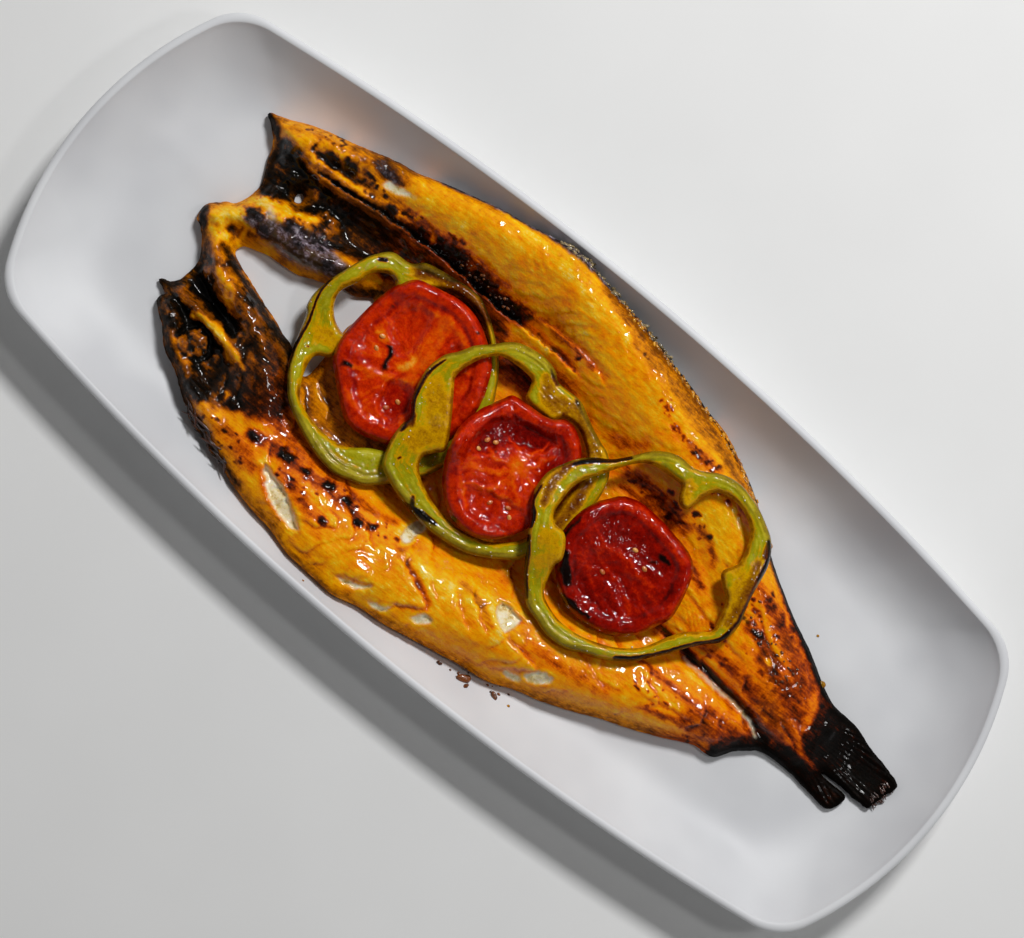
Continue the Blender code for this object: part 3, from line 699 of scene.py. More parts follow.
# brush strokes: strength, softness, and points with a half width
fishStrokes = {
    "toast": (
        # upper fillet
        (0.70, 1.8, ((-92, 44.5, 2.4), (-78, 45.5, 3), (-64, 46, 3.6), (-50, 46.5, 3.4), (-38, 46, 3),
            (-28, 45.5, 1.6))),
        (0.99, 1.0, ((-68, 44, 1.6), (-63, 45.6, 2.2), (-57, 45.2, 1.7))),
        (0.99, 0.9, ((-52, 44.6, 1.8), (-48, 45.2, 1.6))),
        (0.99, 1.0, ((-42, 43.6, 1.8), (-37, 44.6, 2.2), (-32, 43.6, 1.4))),
        # painted shadow in the groove along the edge of the charred strip
        (0.72, 1.0, ((-26, 46.6, 0.8), (-14, 47.4, 1.0), (0, 46.0, 0.6))),
        (0.80, 1.0, ((-100, 40.4, 0.8), (-84, 41.6, 1.0), (-70, 42.2, 1.4), (-54, 42.0, 1.4),
            (-40, 41.4, 1.6), (-30, 42.0, 1.2))),
        (0.40, 0.8, ((-58, 47.4, 0.5), (-54.6, 45.0, 0.8), (-54.6, 43, 0.6))),
        (0.36, 0.8, ((-46, 45.4, 0.5), (-41, 47.6, 0.7), (-37, 47.8, 0.7), (-33.4, 46.4, 0.5))),
        (0.40, 0.8, ((-74, 46.4, 0.8), (-71, 45.4, 0.9), (-71.6, 43.6, 0.6))),
        (0.40, 1.0, ((-92, 46.4, 0.8), (-86, 45.2, 1.2), (-80, 47, 0.8))),
        (0.28, 1.5, ((-26, 44, 1.8), (-20, 44.6, 2.2), (-15, 44, 1.4))),
        (0.48, 1.0, ((-14, 42.6, 2), (-8, 42.6, 2.2))),
        # painted highlight: a pale line along the ridge under the upper edge
        (0.20, 0.9, ((-60, 67.4, 0.8), (-48, 67.8, 1.1), (-37, 67.4, 0.7))),
        (0.20, 0.8, ((-35, 65, 0.9), (-25, 65.4, 0.9))),
        (0.22, 0.8, ((-22, 64, 0.9), (-10, 60, 0.7))),
        (0.22, 0.8, ((-8, 64, 0.9), (2, 61.6, 1.0), (10, 60, 0.7))),
        (0.24, 0.8, ((12, 59, 0.8), (20, 58, 0.7))),
        # painted shade along the upper edge, where the fillet curves down away from the light
        (0.64, 1.8, ((-14, 69, 1.4), (8, 65, 2.6), (40, 57.4, 2.4), (70, 46.4, 1.6))),
        (0.55, 2.4, ((6, 61, 1.4), (22, 59.4, 2.6), (38, 55, 2.0), (48, 52, 1.0))),
        (0.97, 0.4, ((-84, 62.2, 0.3), (-60, 68.2, 0.4), (-40, 71.6, 0.5), (-29, 73.2, 0.6), (-18, 72, 0.5),
            (10, 67.6, 0.4), (40, 61, 0.3), (70, 50, 0.3), (90, 36, 0.4))),
        (0.62, 1.6, ((42, 47, 1.0), (49, 46.4, 1.8), (56, 46.8, 1.0))),
        (0.60, 1.4, ((60, 44, 0.8), (70, 42, 1.2), (82, 38, 1.6))),
        (0.58, 2.2, ((20, 33, 1), (26, 34, 2.2), (31, 38, 1))),
        # inside the tail-end pepper ring
        (0.66, 1.6, ((31, 27, 1.2), (40, 27.6, 2.2), (50, 26, 2.6), (60, 24, 1.8))),
        (0.60, 1.4, ((34, 22, 1.0), (44, 22.8, 1.6), (56, 21.6, 1.2))),
        (0.66, 1.2, ((60, 18, 0.8), (68, 15.4, 1.6), (77, 12, 1.2))),
        (0.22, 3.0, ((60, 33, 2), (68, 31, 4), (76, 25, 3))),
        (0.62, 1.0, ((63, 27, 0.8), (70, 25.4, 1.2), (76, 20, 0.8))),
        # tail end
        (0.93, 1.4, ((86, 39, 0.8), (100, 30.4, 1.3), (112, 24, 1.6), (124, 18, 2.0), (136, 12, 2.4))),
        (0.66, 2.2, ((90, 26, 1), (104, 21, 2.4), (118, 13.5, 2.8), (132, 6, 3))),
        (0.68, 2.0, ((108, 6, 1.4), (120, 4, 3.0), (131, 0, 3.0))),
        (0.66, 2.0, ((84, -3, 0.8), (98, -2.6, 1.8), (114, -4.4, 2.6), (132, -8, 3))),
        (0.70, 1.6, ((92, 14, 0.8), (104, 10.6, 1.8), (116, 6, 1.4))),
        (0.84, 1.6, ((134, 8, 2.4), (138.5, 2, 2.4), (139, -5, 2))),
        (0.50, 1.2, ((131, 9, 1.2), (134.6, 3, 1.6), (134.6, -3, 1.2))),
        (1.0, 0.6, ((101, 11.6, 1.0), (103, 11.2, 0.8))),
        (0.22, 0.8, ((94.4, 13.2, 1.0), (96, 12.8, 0.8))),
        (0.24, 0.7, ((110.4, 7.2, 0.8), (111.8, 6.8, 0.7))),
        (0.74, 1.0, ((70, -6.4, 0.6), (90, -8, 1.2), (110, -9.2, 1.4), (130, -12, 2.0))),
        (0.3, 0.6, ((86, -10.8, 0.5), (100, -11.8, 0.7), (112, -12.4, 0.7), (122, -14.4, 0.5))),
        # lower fillet
        (0.62, 1.2, ((75, -21, 0.8), (95, -21, 1.4), (112, -19.5, 2.0))),
        (0.68, 1.0, ((86, -34, 0.6), (100, -29, 1.2), (114, -25.6, 1.8))),
        (0.56, 1.0, ((90, -38.6, 0.8), (104, -33, 1.4), (114, -30, 1.2))),
        # lighter along the crest of the lower fillet: yellower flesh and painted highlight
        (0.19, 2.6, ((-6, -44, 2), (8, -45, 3.4), (22, -40, 4), (36, -48, 2.4))),
        (0.30, 2.6, ((40, -48, 1.4), (54, -43, 2.2), (70, -32, 2.6), (82, -30, 1.8))),
        (0.36, 2.0, ((10, -57, 1.6), (26, -54.6, 2.4), (40, -50.6, 1.6))),
        (0.54, 2.0, ((46, -41, 1.6), (60, -40, 2.4), (74, -37.6, 1.8))),
        (0.62, 2.0, ((-86, -51, 1.6), (-76, -52.6, 2.4), (-68, -56, 1.8))),
        (0.50, 1.8, ((-70, -62, 1.6), (-60, -64, 2.0), (-46, -66.4, 1.6))),
        (0.60, 2.0, ((-60, -50, 1.6), (-52, -52, 2.8), (-42, -55, 1.8))),
        (0.62, 1.4, ((-66, -54, 1.2), (-58, -59, 1.8), (-50, -63, 1.2))),
        (0.60, 1.5, ((-76, -46.6, 2.0), (-64, -45.4, 2.6), (-54, -45.4, 2.0), (-44, -44.6, 2.2),
            (-34, -45, 2.0), (-24, -45.6, 1.2))),
        (0.58, 1.2, ((-42, -40, 1.2), (-30, -40.6, 1.4), (-18, -38.4, 0.8))),
        (0.52, 1.0, ((-14, -44, 0.8), (0, -48.6, 1.0), (8, -52.6, 0.6))),
        (0.48, 1.2, ((12, -40, 1), (22, -41, 1.4), (30, -45, 1))),
        (0.74, 1.6, ((-102, -52.6, 1.6), (-92, -56, 2.0), (-80, -59.4, 1.8), (-68, -63.4, 1.2))),
        (0.50, 1.5, ((-96, -50, 1.4), (-84, -54, 2.0), (-72, -58, 1.6))),
        # lower half of the head
        (0.50, 1.4, ((-120, -11, 1.6), (-115, -13, 2.4), (-111, -17, 1.4))),
        (0.34, 0.8, ((-119, -28, 0.9), (-110, -26.5, 1.3), (-100, -29, 1.2), (-93, -31, 0.8))),
        (0.55, 1.2, ((-100, -31.6, 1.8), (-97, -33, 2.2))),
        (0.28, 1.0, ((-92, -41, 1.0), (-88, -43.4, 1.6), (-84, -45, 1.0))),
        (0.70, 1.6, ((-110, -22, 1.8), (-100, -24, 2.4), (-93, -27, 1.6))),
        (0.64, 1.2, ((-117, -38.6, 0.9), (-112, -41.4, 1.1), (-106, -39, 0.8))),
        (0.60, 1.3, ((-104, -42, 1.2), (-97, -45, 1.8), (-92, -48, 1.4))),
        # snout and upper half of the head
        (0.97, 1.0, ((-139.4, 3.4, 1.4), (-138, 0.6, 1.8), (-135.4, -2, 1.2))),
        (0.86, 1.2, ((-126, -3.4, 1.4), (-112, -7.6, 1.6), (-98, -12.4, 1.8), (-84, -17, 2))),
        (0.30, 1.2, ((-129, 15, 1.2), (-122, 19.6, 2.4), (-113, 21.6, 1.8), (-107, 24, 1))),
        (0.60, 2.4, ((-138, 44, 1.4), (-124, 48.4, 2.6), (-108, 51.6, 3.2), (-92, 55, 2))),
        (0.40, 1.0, ((-136, 44.6, 0.8), (-126, 48.6, 1.2), (-114, 52.4, 1.0))),
        (0.99, 1.2, ((-144, 43, 1.2), (-139.6, 41.4, 1.4), (-136, 38.6, 1.2))),
        (0.50, 1.4, ((-118, 43.4, 1.6), (-104, 44.4, 2.4), (-88, 47.4, 2.0))),
        (0.34, 0.8, ((-112, 42.4, 0.8), (-100, 43.4, 1.1), (-88, 46, 0.8))),
        (0.86, 1.2, ((-103, 53, 1.8), (-98, 53.2, 2.6), (-93, 52.4, 1.8))),
        (0.74, 1.0, ((-84, 13.6, 0.8), (-77, 17.6, 1.6), (-71, 21, 1.2))),
        (0.42, 0.6, ((-86, 16.4, 0.5), (-78, 20.6, 0.8), (-70, 24.6, 0.5))),
    ),
    "gold": (
        (0.8, 1.5, ((-26, 44, 2.2), (-20, 44.6, 2.6), (-15, 44, 1.8))),
        (0.85, 2.4, ((-95, 58, 0.6), (-60, 65.5, 2.2), (-30, 69, 3.0), (0, 66.5, 3.4), (30, 61.5, 3.2),
            (60, 53, 2.2), (86, 38, 1))),
        (0.9, 2.4, ((6, 61, 1.4), (22, 59.4, 3.0), (40, 54.6, 3.4), (64, 49, 3.4))),
        (0.5, 3.0, ((-85, 52, 1.5), (-55, 55, 2), (-25, 54, 2), (10, 50, 2))),
        (0.7, 3.0, ((60, 33, 3), (68, 32, 5), (77, 26, 4), (80, 18, 2))),
        (1.0, 0.8, ((94.4, 13.2, 1.2), (96, 12.8, 1.0))),
        (1.0, 0.7, ((110.4, 7.2, 0.9), (111.8, 6.8, 0.8))),
        (0.3, 3.0, ((8, -60, 3), (24, -57, 4), (42, -52, 3.4), (60, -46, 2.6))),
        (0.4, 3.0, ((-40, -64, 2), (-20, -64, 3), (0, -60, 3))),
        (0.8, 3.0, ((-8, -44, 2), (8, -44, 4), (22, -40, 4.4), (38, -42, 3))),
        (0.8, 1.0, ((6, -66, 0.8), (30, -61.8, 1.0), (50, -56, 0.8))),
        (0.5, 0.8, ((-119, -28, 0.9), (-110, -26.5, 1.2), (-100, -29, 1.0))),
        (0.5, 1.4, ((-128, 14, 1.2), (-121, 19, 2.0), (-113, 21, 1.4))),
    ),
    "skin": (
        (1.0, 0.7, ((-84, 62, 0.5), (-60, 68.2, 0.9), (-40, 71.8, 1.5), (-20, 72.4, 1.6), (0, 70, 1.0),
            (20, 66.2, 0.7))),
        (0.45, 1.2, ((-102, 53.6, 1.4), (-98, 53.8, 2.2), (-94, 53, 1.4))),
    ),
    "pale": (
        (0.55, 0.4, ((88, -10.4, 0.5), (100, -11.2, 0.6), (112, -11.6, 0.6), (120, -13, 0.5),
            (125, -15.4, 0.4))),
        (0.55, 0.8, ((-122, 17.5, 0.8), (-118.6, 14.6, 1.3), (-116, 12, 0.7))),
        (0.3, 0.6, ((-97, 49, 0.5), (-91, 50.4, 0.6), (-85, 52, 0.4))),
    ),
}
# closed patches: strength, softness of the edge, outline
fishPatches = {
    "toast": (
        # belly hollow beside the upper fillet, dark as browned flesh and as painted shade under the cliff,
        # and what lies under the toppings
        (0.75, 2.0, ((-122, 39), (-100, 42), (-80, 43.4), (-62, 43.6), (-48, 43), (-36, 41), (-30, 36),
            (-38, 33), (-55, 31), (-75, 25), (-95, 21), (-112, 21), (-121, 29))),
        (0.70, 4.0, ((-70, 30), (-48, 32), (-26, 36), (-8, 38), (2, 34), (-10, 26), (-40, 22), (-68, 20))),
        (0.50, 4.0, ((-76, -8), (-50, -10), (-22, -12), (-22, -28), (-50, -36), (-74, -30))),
        (0.55, 3.0, ((-74, -30), (-60, -36), (-40, -39), (-44, -42), (-62, -43), (-74, -40))),
        # lower half of the head
        (0.82, 2.2, ((-136, -3), (-122, -7), (-104, -12), (-86, -18), (-74, -24), (-72, -36), (-80, -43),
            (-94, -46), (-100, -52), (-112, -50), (-128, -39), (-138, -27), (-132, -14))),
        # upper half of the head
        (0.88, 1.6, ((-134, 24), (-126, 19.5), (-119, 23), (-117, 32), (-122, 38), (-134, 39))),
        (0.33, 1.4, ((-135, -1), (-124, -1), (-121, 4), (-126, 12), (-132, 11), (-136, 6))),
        # fin and charred ends
        (0.98, 1.6, ((139, 12), (150, 11.6), (160, 8.6), (175, 5), (173, -9.6), (160, -10), (150, -10),
            (139, -7))),
        (0.95, 1.2, ((128, -11.6), (146, -11), (163, -10.6), (164, -19), (146, -18), (128, -18))),
        (0.98, 1.5, ((113, -24), (119, -19), (126, -14.6), (131, -17), (124, -25), (117, -32))),
        (0.66, 3.0, ((100, -22), (114, -18), (126, -12), (116, -24), (102, -29))),
    ),
    "gold": (
        (0.85, 4.0, ((-76, -8), (-50, -10), (-22, -12), (-22, -28), (-50, -36), (-74, -30))),
    ),
    "skin": (
        (0.95, 1.2, ((-127, 9), (-118, 8), (-106, 8.4), (-95, 11), (-86, 15), (-84, 19), (-94, 20),
            (-104, 21.6), (-112, 17), (-120, 14))),
    ),
}
# clusters of small toasted specks: centre, spread, how many, radius, toast
fishSpecks = (
    ((11, 61), (1.6, 1.2), 5, 0.6, 0.75), ((27, 52), (3, 2.4), 9, 0.6, 0.7),
    ((37, 49.5), (4, 2.6), 10, 0.7, 0.72), ((49, 47), (7, 2), 16, 0.7, 0.78),
    ((66, 42), (8, 3), 12, 0.6, 0.74), ((50, 27), (18, 4), 30, 0.8, 0.8),
    ((100, 20), (14, 8), 44, 0.9, 0.74), ((105, 3), (18, 8), 36, 0.8, 0.72),
    ((-52, -51), (10, 3), 20, 0.6, 0.75), ((-84, -54), (12, 4), 24, 0.7, 0.8),
    ((-30, -43), (16, 3), 24, 0.6, 0.74), ((95, -27), (16, 5), 30, 0.6, 0.75),
    ((-95, 46), (18, 3), 24, 0.8, 0.85), ((-60, 49), (14, 2), 14, 0.7, 0.75),
    ((-15, 43), (12, 3), 16, 0.6, 0.78), ((-118, 50), (12, 4), 20, 0.7, 0.82),
)


def lineHeight(line, x):
    # the smoothed y of a guide line at each x
    at = np.arange(-160, 190.0)
    y = np.interp(at, *np.array(line, float).T)
    kernel = np.hanning(25) / np.hanning(25).sum()
    y = np.convolve(np.pad(y, 12, mode="edge"), kernel, "valid")
    return np.interp(x, at, y)


def raggedLoop(points, spacing, seed, amount):
    # a smooth closed outline with a torn edge
    loop = curveThrough(points, spacing, closed=True)
    x, y = loop.T
    tear = rough(x, y, 7, seed) * 0.9 + rough(x, y, 2.2, seed + 5) * 0.6
    return loop + outwardOf(turned(loop, True)) * (tear * amount(x, y))[:, None]


def ridgeHeights(grid, ridges, power=3):
    total = np.zeros(grid["x"].shape)
    for crest, halfWidth in ridges:
        points = curveThrough(crest, 2.5)
        area, away, _, along, run = nearTo(grid, points, 1.6 * halfWidth, False)
        rise = np.interp(along, np.linspace(0, run, len(points)), points[:, 2])
        swell = np.clip(1 - (away / (1.6 * halfWidth)) ** 2, 0, 1) ** 2
        total[area] += (rise * swell) ** power
    return total ** (1 / power)


def sawtooth(phase):
    share = phase - np.floor(phase)
    return share * (1 - smoothStep(0.9, 1.0, share))


def makeFish(material):
    f = fishForm
    seed = f["seed"]
    grid = makeGrid((-150, -80), (180, 80), f["step"])
    x, y = grid["x"], grid["y"]
    grid["wx"] = x + 1.1 * rough(x, y, 6, seed) + 0.5 * rough(x, y, 1.8, seed + 3, 2)
    grid["wy"] = y + 0.9 * rough(x, y, 5, seed + 6) + 0.45 * rough(x, y, 1.6, seed + 9, 2)

    def tear(px, py):
        return 0.25 + 0.55 * smoothStep(-70, -100, px) + 0.9 * smoothStep(160, 168, px)

    outline = raggedLoop(fishOutline, f["pitch"], seed + 12, tear)
    gap = raggedLoop(headGap, f["pitch"], seed + 13, lambda px, py: 0.4)
    hole = raggedLoop(cheekHole, f["pitch"], seed + 14, lambda px, py: 0.3)
    loops = [outline, gap, hole]
    inside = loopDistance(grid, loops, 14)

    bottom = readGrid(land, blur(highestNear(land["height"], 1), 1), x, y) + f["gap"]
    body = f["base"] + ridgeHeights(grid, fishRidges) - ridgeHeights(grid, fishValleys)

    # fibres run along each fillet, and flakes meet in arrows that point to the tail
    upper = smoothStep(-8, 8, y + 6 * rough(x, y, 20, seed + 20, 1))
    v = upper * (y - lineHeight(upperLine, x)) + (1 - upper) * (y - lineHeight(lowerLine, x))
    swirl = 1.2 * rough(x, y, 12, seed + 21, 2)
    fibre = noise(x / f["fibreLength"], (v + swirl) / f["fibreWidth"], seed + 22)
    fine = noise(x / f["fibreLength"] * 2, (v + swirl) / f["fibreWidth"] * 2.1, seed + 23)
    head = smoothStep(-84, -100, x + 0.25 * np.abs(y))
    meat = (1 - head) * smoothStep(142, 134, x)
    body += meat * f["fibreHeight"] * (fibre + 0.6 * fine) * (1.0 + 0.5 * upper)
    phase = x + (0.95 + 0.6 * upper) * np.abs(v) + 7 * rough(x, y, 14, seed + 24, 2)
    phase = phase / (f["flakeLength"] - 1.5 * upper)
    patchy = smoothStep(-0.25, 0.45, rough(x, y, 15, seed + 25, 2))
    flake = sawtooth(phase) * patchy * meat
    # the crease where each flake steps down, used only for painted shade
    creaseShade = np.exp(-(((phase + 0.06) % 1 - 0.06) / 0.05) ** 2) * patchy * meat * (1 - 0.6 * upper)
    body += f["flakeHeight"] * (1 - 0.65 * upper) * flake
    for route, drop, reach, lowSide in fishSteps:
        layStep(grid, body, route, drop, reach, lowSide, f["tearWidth"])
    for outlinePoints, depth in fishFissures:
        lift(body, patchMask(grid, outlinePoints, 0.7), -depth)
    body += f["uneven"] * rough(x, y, 9, seed + 26, 3)
    body += head * f["headUneven"] * rough(x, y, 5, seed + 27, 4)
    body += meat * f["meatGrain"] * rough(0.5 * x, v, 2.2, seed + 29, 2)
    body += head * f["headGrain"] * rough(x, y, 2.0, seed + 30, 2)
    uneven = 0.8 * rough(x, y, 2.0, seed + 31, 3)
    for bx, by, radius in fishBlisters:
        area, away = nearTo(grid, ((bx, by), (bx + 1.2 * radius, by + 0.3)), 1.8 * radius)[:2]
        swell = np.clip(1 - ((away / radius) * (1 + uneven[area])) ** 2, 0, 1)
        body[area] += f["blisterRise"] * radius * swell
    # the eye of the lower half of the head, in a puckered rim
    ex, ey = f["eye"]
    area, away = nearTo(grid, ((ex - 0.3, ey), (ex + 0.3, ey)), 10)[:2]
    body[area] += f["eyeHeight"] * np.clip(1 - (away / f["eyeRadius"]) ** 2, 0, 1) ** 0.6
    body[area] -= f["eyeRimDepth"] * np.exp(-((away - f["eyeRadius"] - 0.6) / 1.1) ** 2)
    # rays of the tail fin
    fan = np.arctan2(y + 1, x - 118)
    rays = np.cos(fan * 150 + 2 * rough(x, y, 14, seed + 28, 1))
    body += f["rayHeight"] * rays * smoothStep(139, 146, x)

    rounding = np.clip(inside / f["edgeRound"], 0, 1)
    thick = np.maximum(f["edge"], body)
    thick = f["edge"] + (thick - f["edge"]) * np.sqrt(1 - (1 - rounding) ** 2)
    thick = np.maximum(thick, f["thinnest"])

    looks = paintFish(grid, fibre, fine, flake, creaseShade, head, inside, thick, uneven)
    return slabMesh("grilled_fish", grid, loops, inside, bottom + thick, bottom, looks, material,
                    f["pitch"], f["sideBulge"], f["sideRows"])


def paintFish(grid, fibre, fine, flake, creaseShade, head, inside, thick, uneven):
    t, seed = fishToast, fishForm["seed"] + 50
    x, y = grid["x"], grid["y"]
    looks = {key: np.zeros(x.shape) for key in ("gold", "pale", "skin")}
    # painted shade and light: how far a point lies below its neighbours; hollows are painted darker and
    # crests a little lighter
    hollow = np.clip(blur(thick, 3) - thick, -0.25, 0.6) * smoothStep(0.8, 4.0, inside)
    toast = t["plain"] + t["cloudy"] * rough(x, y, 16, seed, 4) + t["fibre"] * fibre + t["fine"] * fine
    # painted shade: darker just past the foot of each flake and along the crease where it steps down
    toast += t["flakeFootShade"] * (1 - flake) * smoothStep(0.05, 0.3, flake) + t["creaseShade"] * creaseShade
    # painted shade: darker within 9 mm of the outline, where the flesh curves down away from the light
    toast += t["edge"] * smoothStep(9, 1, inside) * (1 - head)
    toast += t["belly"] * smoothStep(10, 40, x) * smoothStep(-30, -40, y)
    toast += t["tail"] * smoothStep(84, 140, x) + t["head"] * smoothStep(-80, -104, x)
    looks["toast"] = toast
    looks["gold"] += 0.2 * smoothStep(0.1, 0.5, rough(x, y, 18, seed + 3, 2))
    looks["gold"] = np.maximum(looks["gold"], 0.75 * smoothStep(-72, -96, x))
    looks["gold"] = np.maximum(looks["gold"], 0.9 * smoothStep(8, 2, inside) * smoothStep(110, 90, x))
    for shapes, maskOf in ((fishPatches, patchMask), (fishStrokes, strokeMask)):
        for key, rows in shapes.items():
            for value, soft, points in rows:
                paint(looks[key], maskOf(grid, points, soft), value)
    # painted shade in the hollows and painted light on the crests
    looks["toast"] += (t["hollow"] + t["headHollowShade"] * head) * hollow
    looks["toast"] += head * t["headCloudy"] * rough(x, y, 4.5, seed + 9, 4)
    for points, _ in fishFissures:
        paint(looks["toast"], patchMask(grid, points, 1.2), t["fissure"], 0.8)
        area, mask = patchMask(grid, points, 0.8)
        paint(looks["pale"], (area, smoothStep(0.3, 0.8, mask)), 1.0)
    # a thin dark line along each torn edge: painted shade where the surface drops away
    for route, drop, _, _ in fishSteps:
        paint(looks["toast"], strokeMask(grid, route, 0.45, 0.2), t["tear"], min(0.7, 0.5 * drop))
    random = np.random.default_rng(seed)
    for (cx, cy), (sx, sy), count, radius, value in fishSpecks:
        for _ in range(count):
            px, py = cx + sx * random.uniform(-1, 1), cy + sy * random.uniform(-1, 1)
            size = radius * random.uniform(0.4, 1.3)
            dab = ((px, py), (px + random.uniform(0.3, 1.6) * size, py + random.uniform(-0.4, 0.4)))
            area, away = nearTo(grid, dab, size + 0.6)[:2]
            mask = smoothStep(size + 0.3, size - 0.4, away)
            looks["toast"][area] = np.maximum(looks["toast"][area], value * mask)
    for bx, by, radius in fishBlisters:
        area, away = nearTo(grid, ((bx, by), (bx + 1.2 * radius, by + 0.3)), radius + 2)[:2]
        away = away * (1 + uneven[area])
        ring = t["blisterRim"] * smoothStep(radius + 1.6, radius - 0.2, away)
        looks["toast"][area] = np.maximum(looks["toast"][area], ring)
        middle = smoothStep(radius - 0.2, radius - 0.9, away)
        paint(looks["toast"], (area, middle), t["blister"])
    # the thin rim toasts first
    rim = smoothStep(2.2, 0.2, inside + 0.8 * rough(x, y, 3, seed + 7, 2))
    frayed = head * (t["frayed"] * rough(x, y, 4, seed + 12, 3) - t["frayedLess"])
    looks["toast"] += rim * (t["rim"] + frayed)
    looks["char"] = smoothStep(0.7, 0.95, looks["toast"])
    looks["wet"] = smoothStep(1.2, 4.5, inside) * (1 - 0.15 * smoothStep(0.75, 1.0, looks["toast"]))
    return looks


def grilledFlesh():
    # marinade dried onto flesh: an oily film over fibres, glassy where the sugar browned
    m = newMaterial("marinated_grilled_flesh")
    place = addNode(m, "TexCoord", out="Object")
    toast, gold, pale, skin, char, wet = (
        addNode(m, "Attribute", out="Fac", attribute_name=key)
        for key in ("toast", "gold", "pale", "skin", "char", "wet"))
    along = addNode(m, "Mapping", {"Vector": place, "Scale": (0.14, 1, 0.5)})
    blotch = addNode(m, "TexNoise", {"Vector": place, "Scale": 1000 / 3, "Detail": 6, "Roughness": 0.68})
    strand = addNode(m, "TexNoise", {"Vector": along, "Scale": 1000 / 0.9, "Detail": 3, "Roughness": 0.6})
    speck = addNode(m, "TexNoise", {"Vector": place, "Scale": 1000 / 0.7, "Detail": 2})
    # toast varies with blotches, strands and specks before it becomes a colour
    toasted = addNode(m, "Math", {0: toast, 1: 0.53}, operation="SUBTRACT")
    for layer, amount in ((blotch, 0.5), (strand, 0.4), (speck, 0.16)):
        toasted = addNode(m, "Math", {0: layer, 1: amount, 2: toasted}, operation="MULTIPLY_ADD")
    colour = addNode(m, "ValToRGB", {"Fac": toasted}, [
        (0.0, "FFDE88"), (0.12, "FFC420"), (0.24, "FFA600"), (0.38, "FA8800"), (0.50, "E06400"),
        (0.62, "9E3800"), (0.76, "481602"), (0.88, "150703"), (1.0, "080503")])
    yellow = addNode(m, "ValToRGB", {"Fac": toasted}, [
        (0.0, "FFE67C"), (0.15, "FFCA10"), (0.30, "FCAA00"), (0.44, "DE8800"), (0.60, "8E5000"),
        (0.80, "2C1803"), (1.0, "080603")])
    cream = addNode(m, "ValToRGB", {"Fac": blotch}, [(0.34, "CBA450"), (0.46, "F1E0AA"), (0.62, "FFF6DE")])
    silver = addNode(m, "ValToRGB", {"Fac": blotch}, [
        (0.34, "0D0B0B"), (0.5, "332A2C"), (0.6, "7C6E78"), (0.72, "C9BFC6")])
    for share, other in ((gold, yellow), (pale, cream), (skin, silver)):
        colour = addNode(m, "Mix", {0: share, 6: colour, 7: other}, out=2, data_type="RGBA")
    gloss = addNode(m, "MapRange", {
        "Value": blotch, "From Min": 0.35, "From Max": 0.65, "To Min": 0.32, "To Max": 0.55})
    ripple = addNode(m, "Math", {0: strand, 1: 0.6, 2: speck}, operation="MULTIPLY_ADD")
    crust = addNode(m, "TexNoise", {"Vector": place, "Scale": 1000 / 1.5, "Detail": 4, "Roughness": 0.65})
    crust = addNode(m, "Math", {0: crust, 1: 0.6}, operation="MULTIPLY")
    rise = addNode(m, "Math", {0: crust, 1: char, 2: ripple}, operation="MULTIPLY_ADD")
    bump = addNode(m, "Bump", {"Height": rise, "Strength": 0.32, "Distance": 0.0005})
    film = addNode(m, "TexNoise", {"Vector": place, "Scale": 1000 / 4.5, "Detail": 1})
    wave = addNode(m, "Bump", {"Height": film, "Strength": 0.8, "Distance": 0.0009})
    shader = addNode(m, "BsdfPrincipled", {
        "Base Color": colour, "Roughness": gloss, "Normal": bump, "Specular IOR Level": 0.03,
        "Coat Normal": wave, "Coat Weight": wet, "Coat Roughness": 0.09, "Coat IOR": 1.33,
        "Subsurface Weight": 0.12, "Subsurface Radius": (1.0, 0.4, 0.15), "Subsurface Scale": 0.0018})
    addNode(m, "OutputMaterial", {"Surface": shader})
    return m


fish = makeFish(grilledFlesh())
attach(fish, "root")
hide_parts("fish")
addToLand(fish)
print("fish made")


def cadUnderside(name, x, y):
    # where the CAD laid this piece, carried on a little past its edge
    tree = searchTree(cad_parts[name])
    low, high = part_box(name)
    field, found = np.zeros(land["x"].shape), np.zeros(land["x"].shape, bool)
    near = (land["x"] > low.x / mm) & (land["x"] < high.x / mm)
    near &= (land["y"] > low.y / mm) & (land["y"] < high.y / mm)
    for j, i in zip(*np.nonzero(near)):
        start = Vector((land["x"][j, i] * mm, land["y"][j, i] * mm, -1))
        hit = tree.ray_cast(start, Vector((0, 0, 1)))[0]
        if hit:
            field[j, i], found[j, i] = hit.z / mm, True
    field = np.where(found, field, blurInside(field, found, 4))
    return readGrid(land, blur(field, 1), x, y)


def layOver(grid, inside, plane, form):
    # the underside of a limp piece: it rests on what is highest and sags a little in between
    floor = readGrid(land, highestNear(land["height"], 1), grid["x"], grid["y"]) + form["gap"]
    mask = inside > -1.0
    under = np.maximum(floor, plane)
    for _ in range(form["rounds"]):
        under = np.maximum(blurInside(under, mask, form["limp"]), floor)
    return blurInside(under, mask, 2)


def warpGrid(grid, seed, amount):
    x, y = grid["x"], grid["y"]
    grid["wx"] = x + amount * rough(x, y, 4, seed, 3)
    grid["wy"] = y + amount * rough(x, y, 4, seed + 4, 3)


# Green peppers: a waxy skin round watery flesh that grilling turns olive and half clear.
# The eye sees yellow-green cut walls, long wet lines on the skin and a thin charred edge.
pepperForm = {
    "step": 0.3, "pitch": 0.45, "thick": 4.5, "gap": 0.35, "rounds": 5, "limp": 3, "round": 2.0,
    "skin": 0.32, "rib": 2.0, "ribHeight": 0.22, "bulge": 0.45, "sideRows": 6, "foldHeight": 1.5,
    "uneven": 0.3, "wavy": 0.45, "grain": 0.16, "streak": 0.14, "seed": 61,
}
